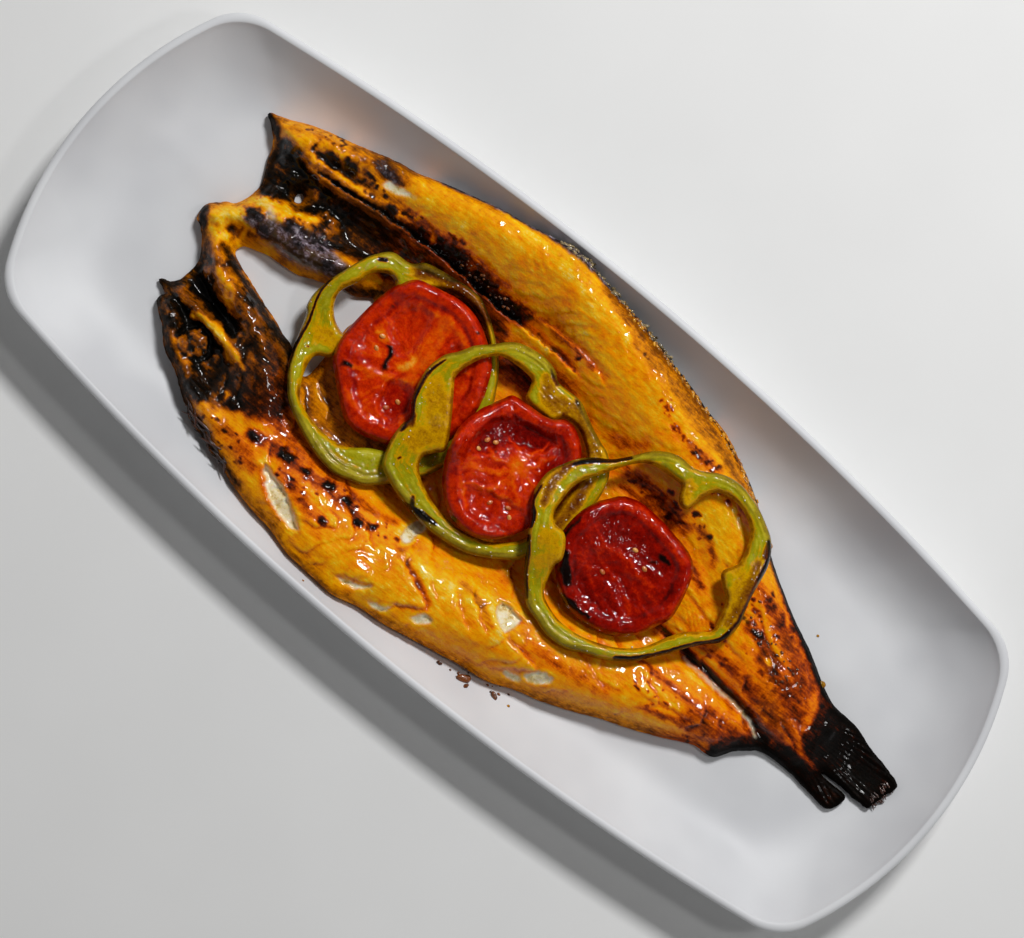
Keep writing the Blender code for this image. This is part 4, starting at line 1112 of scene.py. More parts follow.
# how far each thing browns the pepper, on the fish's scale; the cut-edge and rim entries darken the edges of
# a wall and the middle of a wall is paler: painted shade where the rounded wall turns away from the light,
# painted light along its crest
pepperToast = {
    "plain": 0.33, "cloudy": 0.13, "streak": 0.14, "cutEdgeShade": 0.08, "middle": 0.10, "patchy": 0.05,
    "rim": 0.13,
}
pepperRings = {
    "pepper_ring_1": {
        "outer": (
            (-79, 32.5), (-72, 33.5), (-68, 37), (-62, 38.5), (-55, 39.5), (-50, 40), (-45, 39.5),
            (-38, 36), (-28, 28), (-22, 20), (-17.5, 10), (-17, -2), (-19, -14), (-24, -23),
            (-30, -30), (-35, -35), (-40, -37), (-45, -38.5), (-50, -38.5), (-55, -37.5), (-60, -36),
            (-65, -34), (-70, -31.5), (-75, -28), (-80, -22), (-83, -17), (-85, -12), (-88, -3),
            (-90, 0), (-90.5, 5), (-89, 12), (-87, 18), (-85, 24), (-83, 28),
        ),
        "inner": (
            (-76, 26.2), (-80.5, 22.5), (-82, 17), (-84.6, 11), (-83.6, 6), (-80, 2), (-76, 0.2),
            (-73, -0.4), (-71.5, -4), (-73, -8.6), (-76, -10.4), (-77.6, -13), (-76.6, -18),
            (-74, -23.5), (-70, -28), (-63, -30.2), (-55, -31), (-48, -29.5), (-42, -25), (-35, -21),
            (-28, -16), (-23.5, -8), (-22.5, 4), (-24, 14), (-29, 25), (-34, 31), (-41, 35),
            (-48, 36.4), (-55, 35.6), (-60, 32.5), (-64, 28), (-66, 23.5), (-69, 23), (-72, 26),
        ),
        "skin": (
            (1.0, 0.5, ((-84, -14, 0.7), (-80, -22, 0.9), (-72, -30.4, 1.6), (-60, -35, 2.5),
                (-50, -37, 2.9), (-40, -35.6, 2.9), (-32, -30.6, 2.2))),
            (0.9, 0.5, ((-84, 28, 0.7), (-76, 32.4, 1.2), (-68, 35.4, 1.4), (-56, 39, 1))),
        ),
        "toast": (
            (0.93, 0.35, ((-89.4, 12, 0.3), (-89.2, 6, 0.4), (-88.2, 2, 0.45), (-86, -4, 0.5),
                (-84.4, -12, 0.5), (-82.6, -18, 0.5), (-79.6, -24, 0.6), (-76, -28, 0.4))),
            (0.95, 0.4, ((-81, 27.6, 0.8), (-79, 29, 0.9))),
            (0.9, 0.3, ((-81, -11, 0.3), (-80.4, -11, 0.3))),
            # painted shadow on the top of the ring, under the overhanging fillet
            (0.74, 3.0, ((-68, 34, 2.5), (-54, 38, 2.5), (-40, 36, 2.5))),
            (0.47, 1.8, ((-84, -4, 1), (-79, -4, 2.6), (-73, -4, 3))),
            (0.12, 2.0, ((-46, -29, 1.2), (-41, -25, 2), (-36, -22, 2))),
        ),
    },
    "pepper_ring_2": {
        "outer": (
            (-25, 36), (-20, 37.5), (-15, 38), (-10, 37), (-6, 34.4), (3, 34.5), (8, 32.5), (13, 30),
            (18, 28), (23, 26), (28, 20), (30, 10), (29.4, 0), (27, -10), (22.4, -20), (18, -24),
            (12, -28), (5, -31), (-5, -32.5), (-15, -32), (-25, -30), (-33, -27), (-35.4, -24),
            (-37.5, -18), (-38, -12), (-37.7, -7), (-41, -2), (-43, 5), (-43.5, 10), (-42, 16),
            (-39, 20), (-36, 25), (-32, 29), (-28.4, 33.4),
        ),
        "inner": (
            (-27, 29), (-20, 30.4), (-14, 30), (-12.4, 27), (-11.4, 24), (-9, 22.9), (-4, 22.9),
            (0, 23.4), (3, 27), (8, 27.6), (13, 25.6), (18, 21.6), (21, 15), (21.4, 8), (22, 0),
            (21.6, -8), (19, -15), (16, -19), (10, -23.6), (0, -26.5), (-10, -26), (-17, -24),
            (-22, -21.4), (-25.4, -18), (-26, -14.6), (-24, -11.6), (-21.6, -8.4), (-25, -2),
            (-29, 4), (-32.6, 9), (-35, 13), (-34, 19), (-31, 25),
        ),
        "skin": (
            (1.0, 0.5, ((-41, 16, 0.7), (-33, 27.6, 1.2), (-26, 34.4, 1.7), (-15, 37, 1.7),
                (-9, 35.6, 1.0))),
            (1.0, 0.5, ((-33, -27, 1.0), (-22, -30, 1.7), (-8, -31.6, 2.0), (6, -30, 1.9), (16, -24.6, 1.5),
                (24, -15, 0.9))),
            (0.8, 0.4, ((3, 33.6, 0.9), (10, 31, 1.1), (18, 27.4, 0.9))),
        ),
        "toast": (
            (0.95, 0.35, ((-40.8, 15, 0.3), (-42.4, 9, 0.6), (-42, 4, 0.6), (-40.4, -2, 0.6),
                (-37.8, -6, 0.6), (-36.8, -10, 0.9), (-37, -13, 0.4))),
            (0.76, 0.8, ((-37, -6.6, 1.0), (-36, -9.4, 1.5))),
            (0.92, 0.4, ((-20, -31.6, 0.7), (-18, -31.4, 0.9), (-13, -30.6, 1.3), (-7.6, -30, 0.8))),
            (0.80, 0.6, ((-19.6, -28, 0.6), (-18, -30.4, 0.9))),
            (0.78, 0.4, ((-11, 36.2, 0.3), (-8.4, 34.6, 0.6), (-6, 33.6, 0.6))),
            (0.94, 0.4, ((2.6, 33.6, 0.5), (5, 32.4, 0.8), (9, 30, 0.8), (13, 28, 0.5))),
            (0.97, 0.5, ((18.4, 24.2, 1.0), (20.2, 23.8, 1.1))),
            (0.84, 0.5, ((2.6, 30.6, 0.6), (1.8, 27.4, 0.8))),
            (0.49, 3.0, ((-38, 6, 3.5), (-33, 2, 5), (-28, -5, 5), (-31, -12, 4))),
            (0.56, 2.0, ((-10, 33, 2), (-4, 28, 4), (4, 31, 2.4), (12, 28, 2.4), (20, 24, 2.4))),
            (0.66, 2.0, ((24, 14, 2), (25, 4, 2.4), (25, -4, 2))),
            (0.9, 0.3, ((-31.4, -20.4, 0.35), (-31.8, -21, 0.3))),
        ),
    },
    "pepper_ring_3": {
        "fold": ((42.6, 36.8), (47, 37)),
        "outer": (
            (60, 46.5), (65, 47), (70, 46), (75, 44.5), (80, 42), (84, 39.5), (87, 36), (89, 32),
            (90, 28), (91.5, 20), (93, 15), (94.5, 10), (94.5, 5), (93, 1), (90, -2), (86, -7),
            (82, -13), (78, -18), (75, -22), (70, -26), (66, -28.5), (60, -31), (55, -33.5),
            (50, -34.5), (45, -34.5), (40, -33), (35, -31.5), (32, -29), (28, -25), (25, -21),
            (20, -14), (17, -9), (13, -3), (11, 2), (11, 8), (13, 13), (16, 18), (20, 22),
            (25, 25.5), (29, 30), (33, 35.5), (37, 39), (42, 41), (48, 41), (52, 42.5), (56, 45),
        ),
        "inner": (
            (32, 30.6), (36, 33.5), (41, 34.4), (46, 34.6), (49, 34.4), (51, 31), (53, 29),
            (55.6, 29.6), (56.6, 36), (59.6, 40.4), (65, 42), (71, 41.4), (77, 38), (80, 33),
            (81.5, 26), (79, 20.6), (81.4, 17.4), (86, 14), (88.4, 8), (89.5, 2.6), (87, 0),
            (82.4, -4), (79, -9), (77, -13), (74, -18), (68, -23), (62, -26), (55, -28.3),
            (48, -29), (42, -28), (36, -25), (33.6, -20), (32.4, -15), (33, -12), (31, -8),
            (28, -5), (23.4, -4.4), (20.6, -1.6), (20, 4), (20, 10), (22, 15), (25, 20), (29, 26.6),
        ),
        "skin": (
            (1.0, 0.5, ((30, 31.4, 1.3), (38, 38.6, 1.5), (47, 41, 1.0), (55, 44, 1.1), (64, 46.4, 1.7),
                (72, 45, 2.5), (80, 41.4, 1.6), (86, 36.6, 0.8))),
            (1.0, 0.5, ((30, -27.6, 1.2), (36, -31, 2.0), (44, -33.6, 2.3), (52, -33.6, 2.2),
                (62, -29.8, 1.4))),
        ),
        "toast": (
            (0.97, 0.4, ((29.6, 30.4, 0.5), (26, 26.4, 0.9), (21, 22, 1.1), (17, 17.4, 0.8),
                (13.8, 12, 0.5))),
            (0.93, 0.4, ((11.8, 3, 0.3), (13, -3, 0.5), (16, -6.4, 0.9), (18, -10, 0.6))),
            (0.92, 0.4, ((19.6, -13, 0.4), (23.4, -18, 0.7), (27, -23.4, 0.6), (31, -28, 0.7),
                (32.6, -29.4, 0.4))),
            (0.95, 0.4, ((84, 38.4, 0.5), (87, 34.8, 0.7), (88.8, 30, 0.8), (89.8, 22, 0.9), (92, 16, 0.7),
                (93.4, 10, 0.6), (93.4, 4, 0.8), (91.6, 0, 0.7), (88, -4.6, 1.2), (84.4, -9.6, 1.3),
                (81, -14.4, 1.2), (77, -19.6, 1.4), (73, -23.4, 1.2), (69, -26, 0.8))),
            (0.78, 1.0, ((85, 37, 1.2), (86.6, 33.6, 1.2))),
            (0.47, 1.6, ((50, 36, 2), (53, 31, 2.4))),
            (0.30, 1.2, ((42.6, 36.8, 1.8), (47, 37, 1.8))),
            (0.44, 2.4, ((24, -8, 3), (30, -13, 3), (27, -18, 2))),
            (0.46, 3.0, ((82, 24, 3), (87, 18, 3), (90, 8, 2))),
            (0.66, 1.6, ((15, 14, 1.4), (14, 6, 1.8), (16, -1, 1.6))),
            (0.62, 1.4, ((86, 30, 1.6), (90, 18, 1.8), (91.4, 8, 1.6))),
        ),
    },
}


def makePepper(name, material):
    f, t, ring = pepperForm, pepperToast, pepperRings[name]
    seed = f["seed"] + 20 * int(name[-1])
    outer = curveThrough(ring["outer"], f["pitch"], closed=True)
    inner = curveThrough(ring["inner"], f["pitch"], closed=True)
    low, high = outer.min(0) - 3, outer.max(0) + 3
    grid = makeGrid(tuple(low), tuple(high), f["step"])
    warpGrid(grid, seed, 0.35)
    x, y = grid["x"], grid["y"]
    inside = loopDistance(grid, [outer, inner], 9)
    fromSkin = loopDistance(grid, [outer], 9)
    under = layOver(grid, inside, cadUnderside(name, x, y), f)
    looks = {
        "skin": smoothStep(f["skin"] + 0.3, f["skin"] - 0.3, fromSkin + 0.3 * rough(x, y, 3, seed, 2)),
        "toast": t["plain"] + t["cloudy"] * rough(x, y, 11, seed + 1, 4),
    }
    area, _, _, along, _ = nearTo(grid, np.concatenate([outer, outer[:1]]), 16, False)
    streak = np.zeros(x.shape)
    streak[area] = noise(along / 7, fromSkin[area] / 0.75, seed + 8)
    looks["toast"] += t["streak"] * streak
    # painted shade towards the inner cut edge, and painted light along the middle of the wall
    looks["toast"] += t["cutEdgeShade"] * smoothStep(1.6, 0.2, inside) * smoothStep(2, 4, fromSkin)
    looks["toast"] -= t["middle"] * np.exp(-((inside - 2.2) / 0.8) ** 2)
    for key in looks:
        for value, soft, points in ring[key]:
            paint(looks[key], strokeMask(grid, points, soft), value)
    # long ribs follow the skin, deepest where the skin turns upwards
    wide = blur(looks["skin"] * (fromSkin > f["skin"] + 0.3), 4)
    ribs = np.cos(2 * math.pi * (fromSkin + 0.25 * rough(x, y, 9, seed + 2, 2)) / f["rib"])
    body = f["thick"] + ribs * f["ribHeight"] * (0.12 + 0.88 * smoothStep(0.0, 0.5, wide))
    body += f["uneven"] * rough(x, y, 5, seed + 3, 3) + f["wavy"] * rough(x, y, 16, seed + 5, 2)
    body += f["grain"] * rough(x, y, 1.8, seed + 7, 2) + f["streak"] * streak
    if "fold" in ring:
        area, away = nearTo(grid, ring["fold"], 5)[:2]
        body[area] += f["foldHeight"] * np.clip(1 - (away / 3.6) ** 2, 0, 1)
    rounding = np.clip((inside + 0.1) / f["round"], 0, 1)
    top = under + body * (0.5 + 0.5 * np.sqrt(1 - (1 - rounding) ** 2))
    # the patchy term is mottling; the rim term is painted shade on the last millimetre of both edges
    looks["toast"] += t["patchy"] * rough(x, y, 2, seed + 6, 2) + t["rim"] * smoothStep(1.1, 0.1, inside)
    piece = slabMesh(name + "_grilled", grid, [outer, inner], inside, top, under, looks, material,
                     f["pitch"], f["bulge"], f["sideRows"])
    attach(piece, "root")
    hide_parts(name)
    addToLand(piece)


def grilledPepper():
    # waxy skin and watery flesh, with beads of juice that catch the light
    m = newMaterial("grilled_green_pepper")
    place = addNode(m, "TexCoord", out="Object")
    skin, toast = (addNode(m, "Attribute", out="Fac", attribute_name=key) for key in ("skin", "toast"))
    cloud = addNode(m, "TexNoise", {"Vector": place, "Scale": 1000 / 3, "Detail": 4, "Roughness": 0.6})
    cell = addNode(m, "TexNoise", {"Vector": place, "Scale": 1000 / 0.7, "Detail": 2})
    toasted = addNode(m, "Math", {0: toast, 1: 0.22}, operation="SUBTRACT")
    for layer, amount in ((cloud, 0.3), (cell, 0.2)):
        toasted = addNode(m, "Math", {0: layer, 1: amount, 2: toasted}, operation="MULTIPLY_ADD")
    flesh = addNode(m, "ValToRGB", {"Fac": toasted}, [
        (0.0, "D4CC5A"), (0.18, "BDB220"), (0.32, "A39A06"), (0.46, "DDA400"), (0.6, "A46A02"),
        (0.74, "6B3004"), (0.86, "240D04"), (1.0, "070403")])
    green = addNode(m, "ValToRGB", {"Fac": toasted}, [
        (0.1, "D2C038"), (0.28, "B3A01A"), (0.42, "948010"), (0.58, "725C08"), (0.76, "3A2A04"),
        (0.95, "080503")])
    colour = addNode(m, "Mix", {0: skin, 6: flesh, 7: green}, out=2, data_type="RGBA")
    rise = addNode(m, "Math", {0: cell, 1: 0.5, 2: cloud}, operation="MULTIPLY_ADD")
    bump = addNode(m, "Bump", {"Height": rise, "Strength": 0.3, "Distance": 0.0005})
    # beads of juice, 1 mm across
    bead = addNode(m, "TexVoronoi", {"Vector": place, "Scale": 1000 / 2.4})
    bead = addNode(m, "MapRange", {
        "Value": bead, "From Min": 0.0, "From Max": 0.22, "To Min": 0.6, "To Max": 0.0},
        interpolation_type="SMOOTHSTEP")
    gloss = addNode(m, "MapRange", {
        "Value": cloud, "From Min": 0.35, "From Max": 0.65, "To Min": 0.24, "To Max": 0.42})
    film = addNode(m, "TexNoise", {"Vector": place, "Scale": 1000 / 3, "Detail": 1})
    film = addNode(m, "Math", {0: film, 1: bead}, operation="ADD")
    wave = addNode(m, "Bump", {"Height": film, "Strength": 0.6, "Distance": 0.0005})
    shader = addNode(m, "BsdfPrincipled", {
        "Base Color": colour, "Roughness": gloss, "Normal": bump, "Specular IOR Level": 0.03,
        "Coat Normal": wave, "Coat Weight": 1.0, "Coat Roughness": 0.07, "Coat IOR": 1.3,
        "Subsurface Weight": 0.2, "Subsurface Radius": (0.8, 1.0, 0.25), "Subsurface Scale": 0.0022})
    addNode(m, "OutputMaterial", {"Surface": shader})
    return m


# Tomatoes: cut flesh round jelly-filled chambers, collapsed and slick after grilling.
# The eye sees a wet red rim, an orange core with rays, and dark glassy hollows.
tomatoForm = {
    "step": 0.3, "pitch": 0.48, "thick": 4.9, "gap": 0.35, "rounds": 6, "limp": 4, "round": 3.0,
    "rim": 5.5, "rimRise": 0.7, "rimGroove": 0.35, "bulge": 0.6, "sideRows": 6, "thinnest": 1.6,
    "uneven": 0.9, "rayHeight": 0.1, "grain": 0.07, "strokeShare": 0.6, "charHeight": 0.25,
    "seed": 141,
}
# how far each thing changes the tone, where 0 is nearly black, 0.5 red and 1 pale orange; the edge darkens it
# as the skin is darker there, and the groove entry is painted shade in the groove inside the rim
tomatoTone = {
    "cloudy": 0.11, "rays": 0.04, "middle": 0.05, "edge": 0.07, "grooveShade": 0.13, "brightRays": 0.10,
}
tomatoSlices = {
    "tomato_slice_1": {
        "outer": (
            (-66, 30), (-60, 32), (-50, 34), (-42, 33), (-35, 29.5), (-28, 24), (-23.4, 14),
            (-22, 5), (-24, -6), (-30, -14), (-38, -19), (-45, -21.5), (-50, -22.5), (-55, -21.5),
            (-60, -18), (-66, -13), (-71, -8), (-73.2, 0), (-73, 10), (-71.6, 20), (-69, 26),
        ),
        "core": (-49, 6), "tone": 0.42,
        "patches": (
            (0.46, -1.3, 1.0, ((-64, 17), (-61, 23), (-55, 24), (-52.4, 17), (-53, 8), (-58, 9),
                (-63, 12))),
            (0.34, -2.0, 1.0, ((-50, -1), (-44, -0.4), (-40, -5), (-41, -12), (-47, -13), (-51, -7))),
            (0.42, -1.2, 1.0, ((-41, 22), (-36, 20), (-32, 12), (-34, 4), (-40, 6), (-42, 14))),
        ),
        "strokes": (
            (0.60, 0.5, 1.2, ((-49, 26, 1.6), (-48, 18, 2.8), (-46.6, 10, 3.2), (-47, 4, 2.4))),
            # painted highlight: a pale yellowish spot on the core
            (0.88, 0.2, 0.8, ((-50.6, 9, 0.9), (-49, 6.6, 1.3), (-52, 3.4, 0.8))),
            (0.72, 0.2, 0.9, ((-64.4, 8.6, 1.0), (-61.4, 7.6, 1.4))),
            (0.66, 0.2, 0.8, ((-63, 4, 0.9), (-60, 3, 1.2))),
            (0.62, 0.3, 0.7, ((-65, -7, 0.6), (-58, -4, 1.0), (-52, -1, 0.8))),
            (0.64, 0.5, 0.7, ((-52, -2, 0.6), (-47.6, 1.0, 0.9), (-43.6, 4, 0.6))),
            (0.62, 0.4, 0.8, ((-56, 25, 0.8), (-48, 26.4, 1.2), (-40, 24, 0.8))),
            (0.60, 0.3, 0.7, ((-62, -14, 0.6), (-52, -17, 0.8), (-42, -15.6, 0.6))),
        ),
        "char": (
            ((-59.4, 6.2, 0.5), (-57.4, 5.4, 1.0), (-56.4, 2.6, 0.9), (-55.6, -0.2, 0.6)),
            ((-67.4, -7.8, 0.8), (-65, -6.6, 0.9)),
            ((-38.4, 29.8, 0.4), (-38, 29.6, 0.4)),
            ((-67.6, 17.8, 0.3), (-67, 17.8, 0.3)),
        ),
    },
    "tomato_slice_2": {
        "outer": (
            (-22, 2), (-20.6, 9), (-18.6, 14), (-16.6, 18), (-15, 20.6), (-10, 21.2), (-4, 21.8),
            (0, 22.6), (5, 25.6), (10, 24.6), (15, 20.6), (18, 14), (18.7, 5), (18.2, -3),
            (17, -11), (13, -18.4), (8, -23), (2, -25), (-4, -24.6), (-9, -22.4), (-14, -18),
            (-18, -12.4), (-20.6, -6),
        ),
        "core": (2, 3), "tone": 0.40, "curl": (-20.6, -5, 5.3, 5.5),
        "patches": (
            (0.20, -2.6, 1.2, ((-15.4, 6), (-13.4, 12), (-6, 16), (2, 18.6), (6.4, 17), (4, 12), (-2, 8.6),
                (-7, 6), (-8.6, 2), (-12, -2), (-15.4, 1))),
            (0.40, -1.7, 1.0, ((-6, -13), (0, -10), (8, -8), (15, -8.4), (16, -14.6), (10, -19), (0, -20),
                (-5, -17))),
            (0.26, -1.6, 1.2, ((8, 19), (13, 17), (16.4, 10), (15.6, 2), (10, 5), (8, 11))),
        ),
        "strokes": (
            (0.70, 0.6, 1.6, ((0.6, 3.4, 2.4), (3, 2.6, 2.6))),
            (0.60, 0.3, 0.5, ((1, 5, 0.7), (-3, 8, 0.5), (-7, 9, 0.3))),
            (0.60, 0.3, 0.5, ((0, 2, 0.7), (-6, 0.6, 0.6), (-11, 1, 0.4))),
            (0.62, 0.3, 0.5, ((1, 1, 0.7), (-4, -4, 0.8), (-11, -7, 0.5))),
            (0.60, 0.3, 0.5, ((2, 0, 0.7), (1, -5, 0.7), (-1, -10, 0.4))),
            (0.58, 0.3, 0.5, ((3, 0, 0.7), (6, -4, 0.7), (11, -7, 0.4))),
            (0.58, 0.3, 0.5, ((4.6, 2, 0.7), (10, 2.4, 0.6), (15, 1, 0.4))),
            (0.58, 0.3, 0.5, ((4, 5, 0.7), (7, 9, 0.5), (9, 14, 0.3))),
            (0.60, 0.3, 0.5, ((2, 6, 0.7), (3.4, 11, 0.5), (4.6, 16, 0.4))),
            (0.58, 0.6, 0.7, ((-7, -12, 0.6), (0, -9.4, 0.8), (9, -7.4, 0.6))),
            (0.56, 0.5, 0.8, ((-14, -8, 0.8), (-10, -14, 1.0), (-3, -19, 0.8))),
        ),
        "char": (
            ((-8, 1.8, 0.3), (-7.6, 1.6, 0.3)),
            ((-13.6, 12.2, 0.3), (-13.2, 12, 0.3)),
            ((-4.6, -24.6, 0.5), (-2.6, -24.8, 0.4)),
        ),
    },
    "tomato_slice_3": {
        "outer": (
            (32, 13), (36, 18), (42, 20.5), (50, 20.5), (58, 19.5), (65, 18), (70, 15), (73, 8),
            (75, -2), (73, -8), (70, -14), (65, -19), (58, -22), (50, -23), (43, -21.5),
            (36, -17), (32, -12), (28.4, -5), (28, 2), (29.4, 8),
        ),
        "core": (50, 0), "tone": 0.29,
        "patches": (
            (0.22, -0.8, 2.6, ((35, 10), (44, 14), (58, 13), (68, 10), (62, 5), (50, 4), (38, 3))),
            (0.26, -0.9, 2.2, ((40, -3), (50, -1), (60, -3), (68, -4), (62, -9), (52, -8), (43, -8))),
            (0.20, -0.7, 2.2, ((40, -11), (50, -11), (60, -13), (56, -18), (46, -18))),
        ),
        "strokes": (
            (0.44, 0.3, 1.5, ((33, 13, 1.2), (42, 18, 1.8), (54, 18, 1.8), (66, 14.6, 1.4))),
            (0.42, 0.4, 0.7, ((34, 5, 0.4), (42, 1.6, 0.8), (50, 3, 0.7), (58, 0.6, 0.7), (66, 1.6, 0.4))),
            (0.40, 0.3, 0.6, ((40, -1, 0.4), (46, -4, 0.7), (54, -5.6, 0.6), (62, -9, 0.4))),
            (0.38, 0.3, 0.6, ((36, -5, 0.4), (42, -8, 0.6), (50, -13, 0.5), (60, -15, 0.4))),
            (0.40, 0.3, 0.6, ((56, -1, 0.4), (62, -5, 0.6), (70, -8, 0.4))),
            (0.40, 0.8, 1.0, ((70.6, 12, 0.8), (73, 4, 1.2), (73, -5, 1.2), (69, -14, 1.0))),
            (0.36, 0.4, 0.6, ((44, -17, 0.5), (54, -17, 0.7), (64, -13, 0.5))),
        ),
        "char": (
            ((58.6, 10.4, 0.8), (60.4, 10.8, 1.2), (62.6, 10.4, 0.9)),
            ((59, 8, 0.5), (58, 7, 0.4)),
            ((28.6, 3, 0.4), (29, -4, 0.7), (31.4, -9, 0.9)),
            ((33, -9.6, 1.3), (36, -13, 2.0), (39.6, -16.4, 1.6)),
            ((42, -20.6, 0.8), (48, -21.6, 1.0), (54, -21, 0.7)),
        ),
    },
}


def makeTomato(name, material):
    f, t, slice_ = tomatoForm, tomatoTone, tomatoSlices[name]
    seed = f["seed"] + 20 * int(name[-1])
    outer = raggedLoop(slice_["outer"], f["pitch"], seed, lambda px, py: 0.35)
    low, high = outer.min(0) - 3, outer.max(0) + 3
    grid = makeGrid(tuple(low), tuple(high), f["step"])
    warpGrid(grid, seed, 1.5)
    x, y = grid["x"], grid["y"]
    inside = loopDistance(grid, [outer], 14)
    under = layOver(grid, inside, cadUnderside(name, x, y), f)
    if "curl" in slice_:
        # where its edge leans on the ring beside it, the slice turns up
        cx, cy, height, reach = slice_["curl"]
        under += height * np.exp(-((x - cx) ** 2 + (y - cy) ** 2) / reach ** 2)
    cx, cy = slice_["core"]
    turn = np.arctan2(grid["wy"] - cy, grid["wx"] - cx)
    reach = np.hypot(x - cx, y - cy)
    rays = noise(turn * 14, 0.08 * reach, seed + 1) * smoothStep(1, 6, reach)
    tone = slice_["tone"] + t["cloudy"] * rough(x, y, 8, seed + 2, 5) + t["rays"] * rays
    body = f["thick"] + f["uneven"] * rough(x, y, 8, seed + 3, 4) + f["rayHeight"] * rays
    body += f["grain"] * rough(x, y, 2.4, seed + 5, 3)
    rim = smoothStep(f["rim"] + 1.5, f["rim"] - 1.0, inside + 0.8 * rough(x, y, 6, seed + 4, 2))
    body += f["rimRise"] * rim - f["rimGroove"] * smoothStep(1.4, 0, np.abs(inside - f["rim"]))
    tone += t["middle"] * (1 - rim) - t["edge"] * smoothStep(0.9, 0.1, inside)
    # painted shade along the groove between the rim and the inside
    grooveShade = np.abs(inside - f["rim"] + 1.6 * rough(x, y, 7, seed + 6, 3))
    grooveShade = smoothStep(1.3, 0.1, grooveShade) * smoothStep(-0.5, 0.3, rough(x, y, 9, seed + 7, 2))
    tone -= t["grooveShade"] * grooveShade
    for value, height, soft, points in slice_["patches"]:
        masked = patchMask(grid, points, 1.5 * soft)
        paint(tone, masked, value, 0.9)
        lift(body, masked, height)
    for value, height, soft, points in slice_["strokes"]:
        masked = strokeMask(grid, points, 1.5 * soft)
        paint(tone, masked, value, 0.85)
        lift(body, masked, f["strokeShare"] * height)
    tone += t["brightRays"] * rays * smoothStep(0.2, 0.6, tone) * (1 - rim)
    char = np.zeros(x.shape)
    for points in slice_["char"]:
        masked = strokeMask(grid, points, 0.4)
        paint(char, masked, 1.0)
        lift(body, masked, f["charHeight"])
    rounding = np.clip((inside + 0.1) / f["round"], 0, 1)
    top = under + np.maximum(body, f["thinnest"]) * (0.45 + 0.55 * np.sqrt(1 - (1 - rounding) ** 2))
    piece = slabMesh(name + "_grilled", grid, [outer], inside, top, under, {"tone": tone, "char": char},
                     material, f["pitch"], f["bulge"], f["sideRows"])
    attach(piece, "root")
    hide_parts(name)
    addToLand(piece)


def grilledTomato():
    # wet cut flesh that light sinks into, under a thin glossy film of juice
    m = newMaterial("grilled_tomato_flesh")
    place = addNode(m, "TexCoord", out="Object")
    tone, char = (addNode(m, "Attribute", out="Fac", attribute_name=key) for key in ("tone", "char"))
    cloud = addNode(m, "TexNoise", {"Vector": place, "Scale": 1000 / 2.5, "Detail": 5, "Roughness": 0.62})
    grain = addNode(m, "TexNoise", {"Vector": place, "Scale": 1000 / 0.7, "Detail": 2})
    toned = addNode(m, "Math", {0: tone, 1: 0.25}, operation="SUBTRACT")
    for layer, amount in ((cloud, 0.34), (grain, 0.16)):
        toned = addNode(m, "Math", {0: layer, 1: amount, 2: toned}, operation="MULTIPLY_ADD")
    red = addNode(m, "ValToRGB", {"Fac": toned}, [
        (0.0, "240000"), (0.18, "640200"), (0.34, "A21000"), (0.48, "D83000"), (0.62, "F05C00"),
        (0.78, "FA9418"), (1.0, "FBC860")])
    colour = addNode(m, "Mix", {0: char, 6: red, 7: hexToLinear("120604")}, out=2, data_type="RGBA")
    rise = addNode(m, "Math", {0: grain, 1: 0.4, 2: cloud}, operation="MULTIPLY_ADD")
    bump = addNode(m, "Bump", {"Height": rise, "Strength": 0.3, "Distance": 0.0006})
    film = addNode(m, "TexNoise", {"Vector": place, "Scale": 1000 / 3.6, "Detail": 1})
    wave = addNode(m, "Bump", {"Height": film, "Strength": 0.8, "Distance": 0.0008})
    shader = addNode(m, "BsdfPrincipled", {
        "Base Color": colour, "Roughness": 0.3, "Normal": bump, "Specular IOR Level": 0.02,
        "Coat Normal": wave, "Coat Weight": 1.0, "Coat Roughness": 0.06, "Coat IOR": 1.3,
        "Subsurface Weight": 0.18, "Subsurface Radius": (1.0, 0.2, 0.1), "Subsurface Scale": 0.0025})
    addNode(m, "OutputMaterial", {"Surface": shader})
    return m


layingOrder = (
    "pepper_ring_1", "tomato_slice_1", "pepper_ring_2", "tomato_slice_2", "tomato_slice_3",
    "pepper_ring_3",
)
pepper, tomato = grilledPepper(), grilledTomato()
for name in layingOrder:
    if name in pepperRings:
        makePepper(name, pepper)
    else:
        makeTomato(name, tomato)
print("toppings laid")


# Small things on top: closed lumps, joined into one piece for each kind.
# The eye sees pale seeds in wet jelly, brown crumbs, frayed scales and burnt strands of fin.
def lumpPoints(size, uneven, curl, seed, around=12, up=7):
    # an uneven ellipsoid in mm, as points and faces; curl bends its length downwards
    turn = 2 * math.pi * np.arange(around) / around
    rise = math.pi * (np.arange(1, up) / up - 0.5)
    ring = np.stack(np.broadcast_arrays(
        np.cos(rise)[:, None] * np.cos(turn), np.cos(rise)[:, None] * np.sin(turn), np.sin(rise)[:, None]
    ), axis=-1).reshape(-1, 3)
    points = np.concatenate([[[0, 0, -1]], ring, [[0, 0, 1]]])
    bumps = noise(points[:, 0] * 1.7 + 3 * points[:, 2] + seed, points[:, 1] * 1.7 + seed, seed)
    points = points * (1 + uneven * bumps)[:, None] * np.array(size) / 2
    points[:, 2] -= curl * (points[:, 0] / (size[0] / 2)) ** 2
    last = len(points) - 1
    faces = []
    for k in range(around):
        n = (k + 1) % around
        faces.append((0, 1 + n, 1 + k))
        faces.append((last, last - around + k, last - around + n))
        for row in range(up - 2):
            a, b = 1 + row * around, 1 + (row + 1) * around
            faces.append((a + k, a + n, b + n, b + k))
    return points, faces


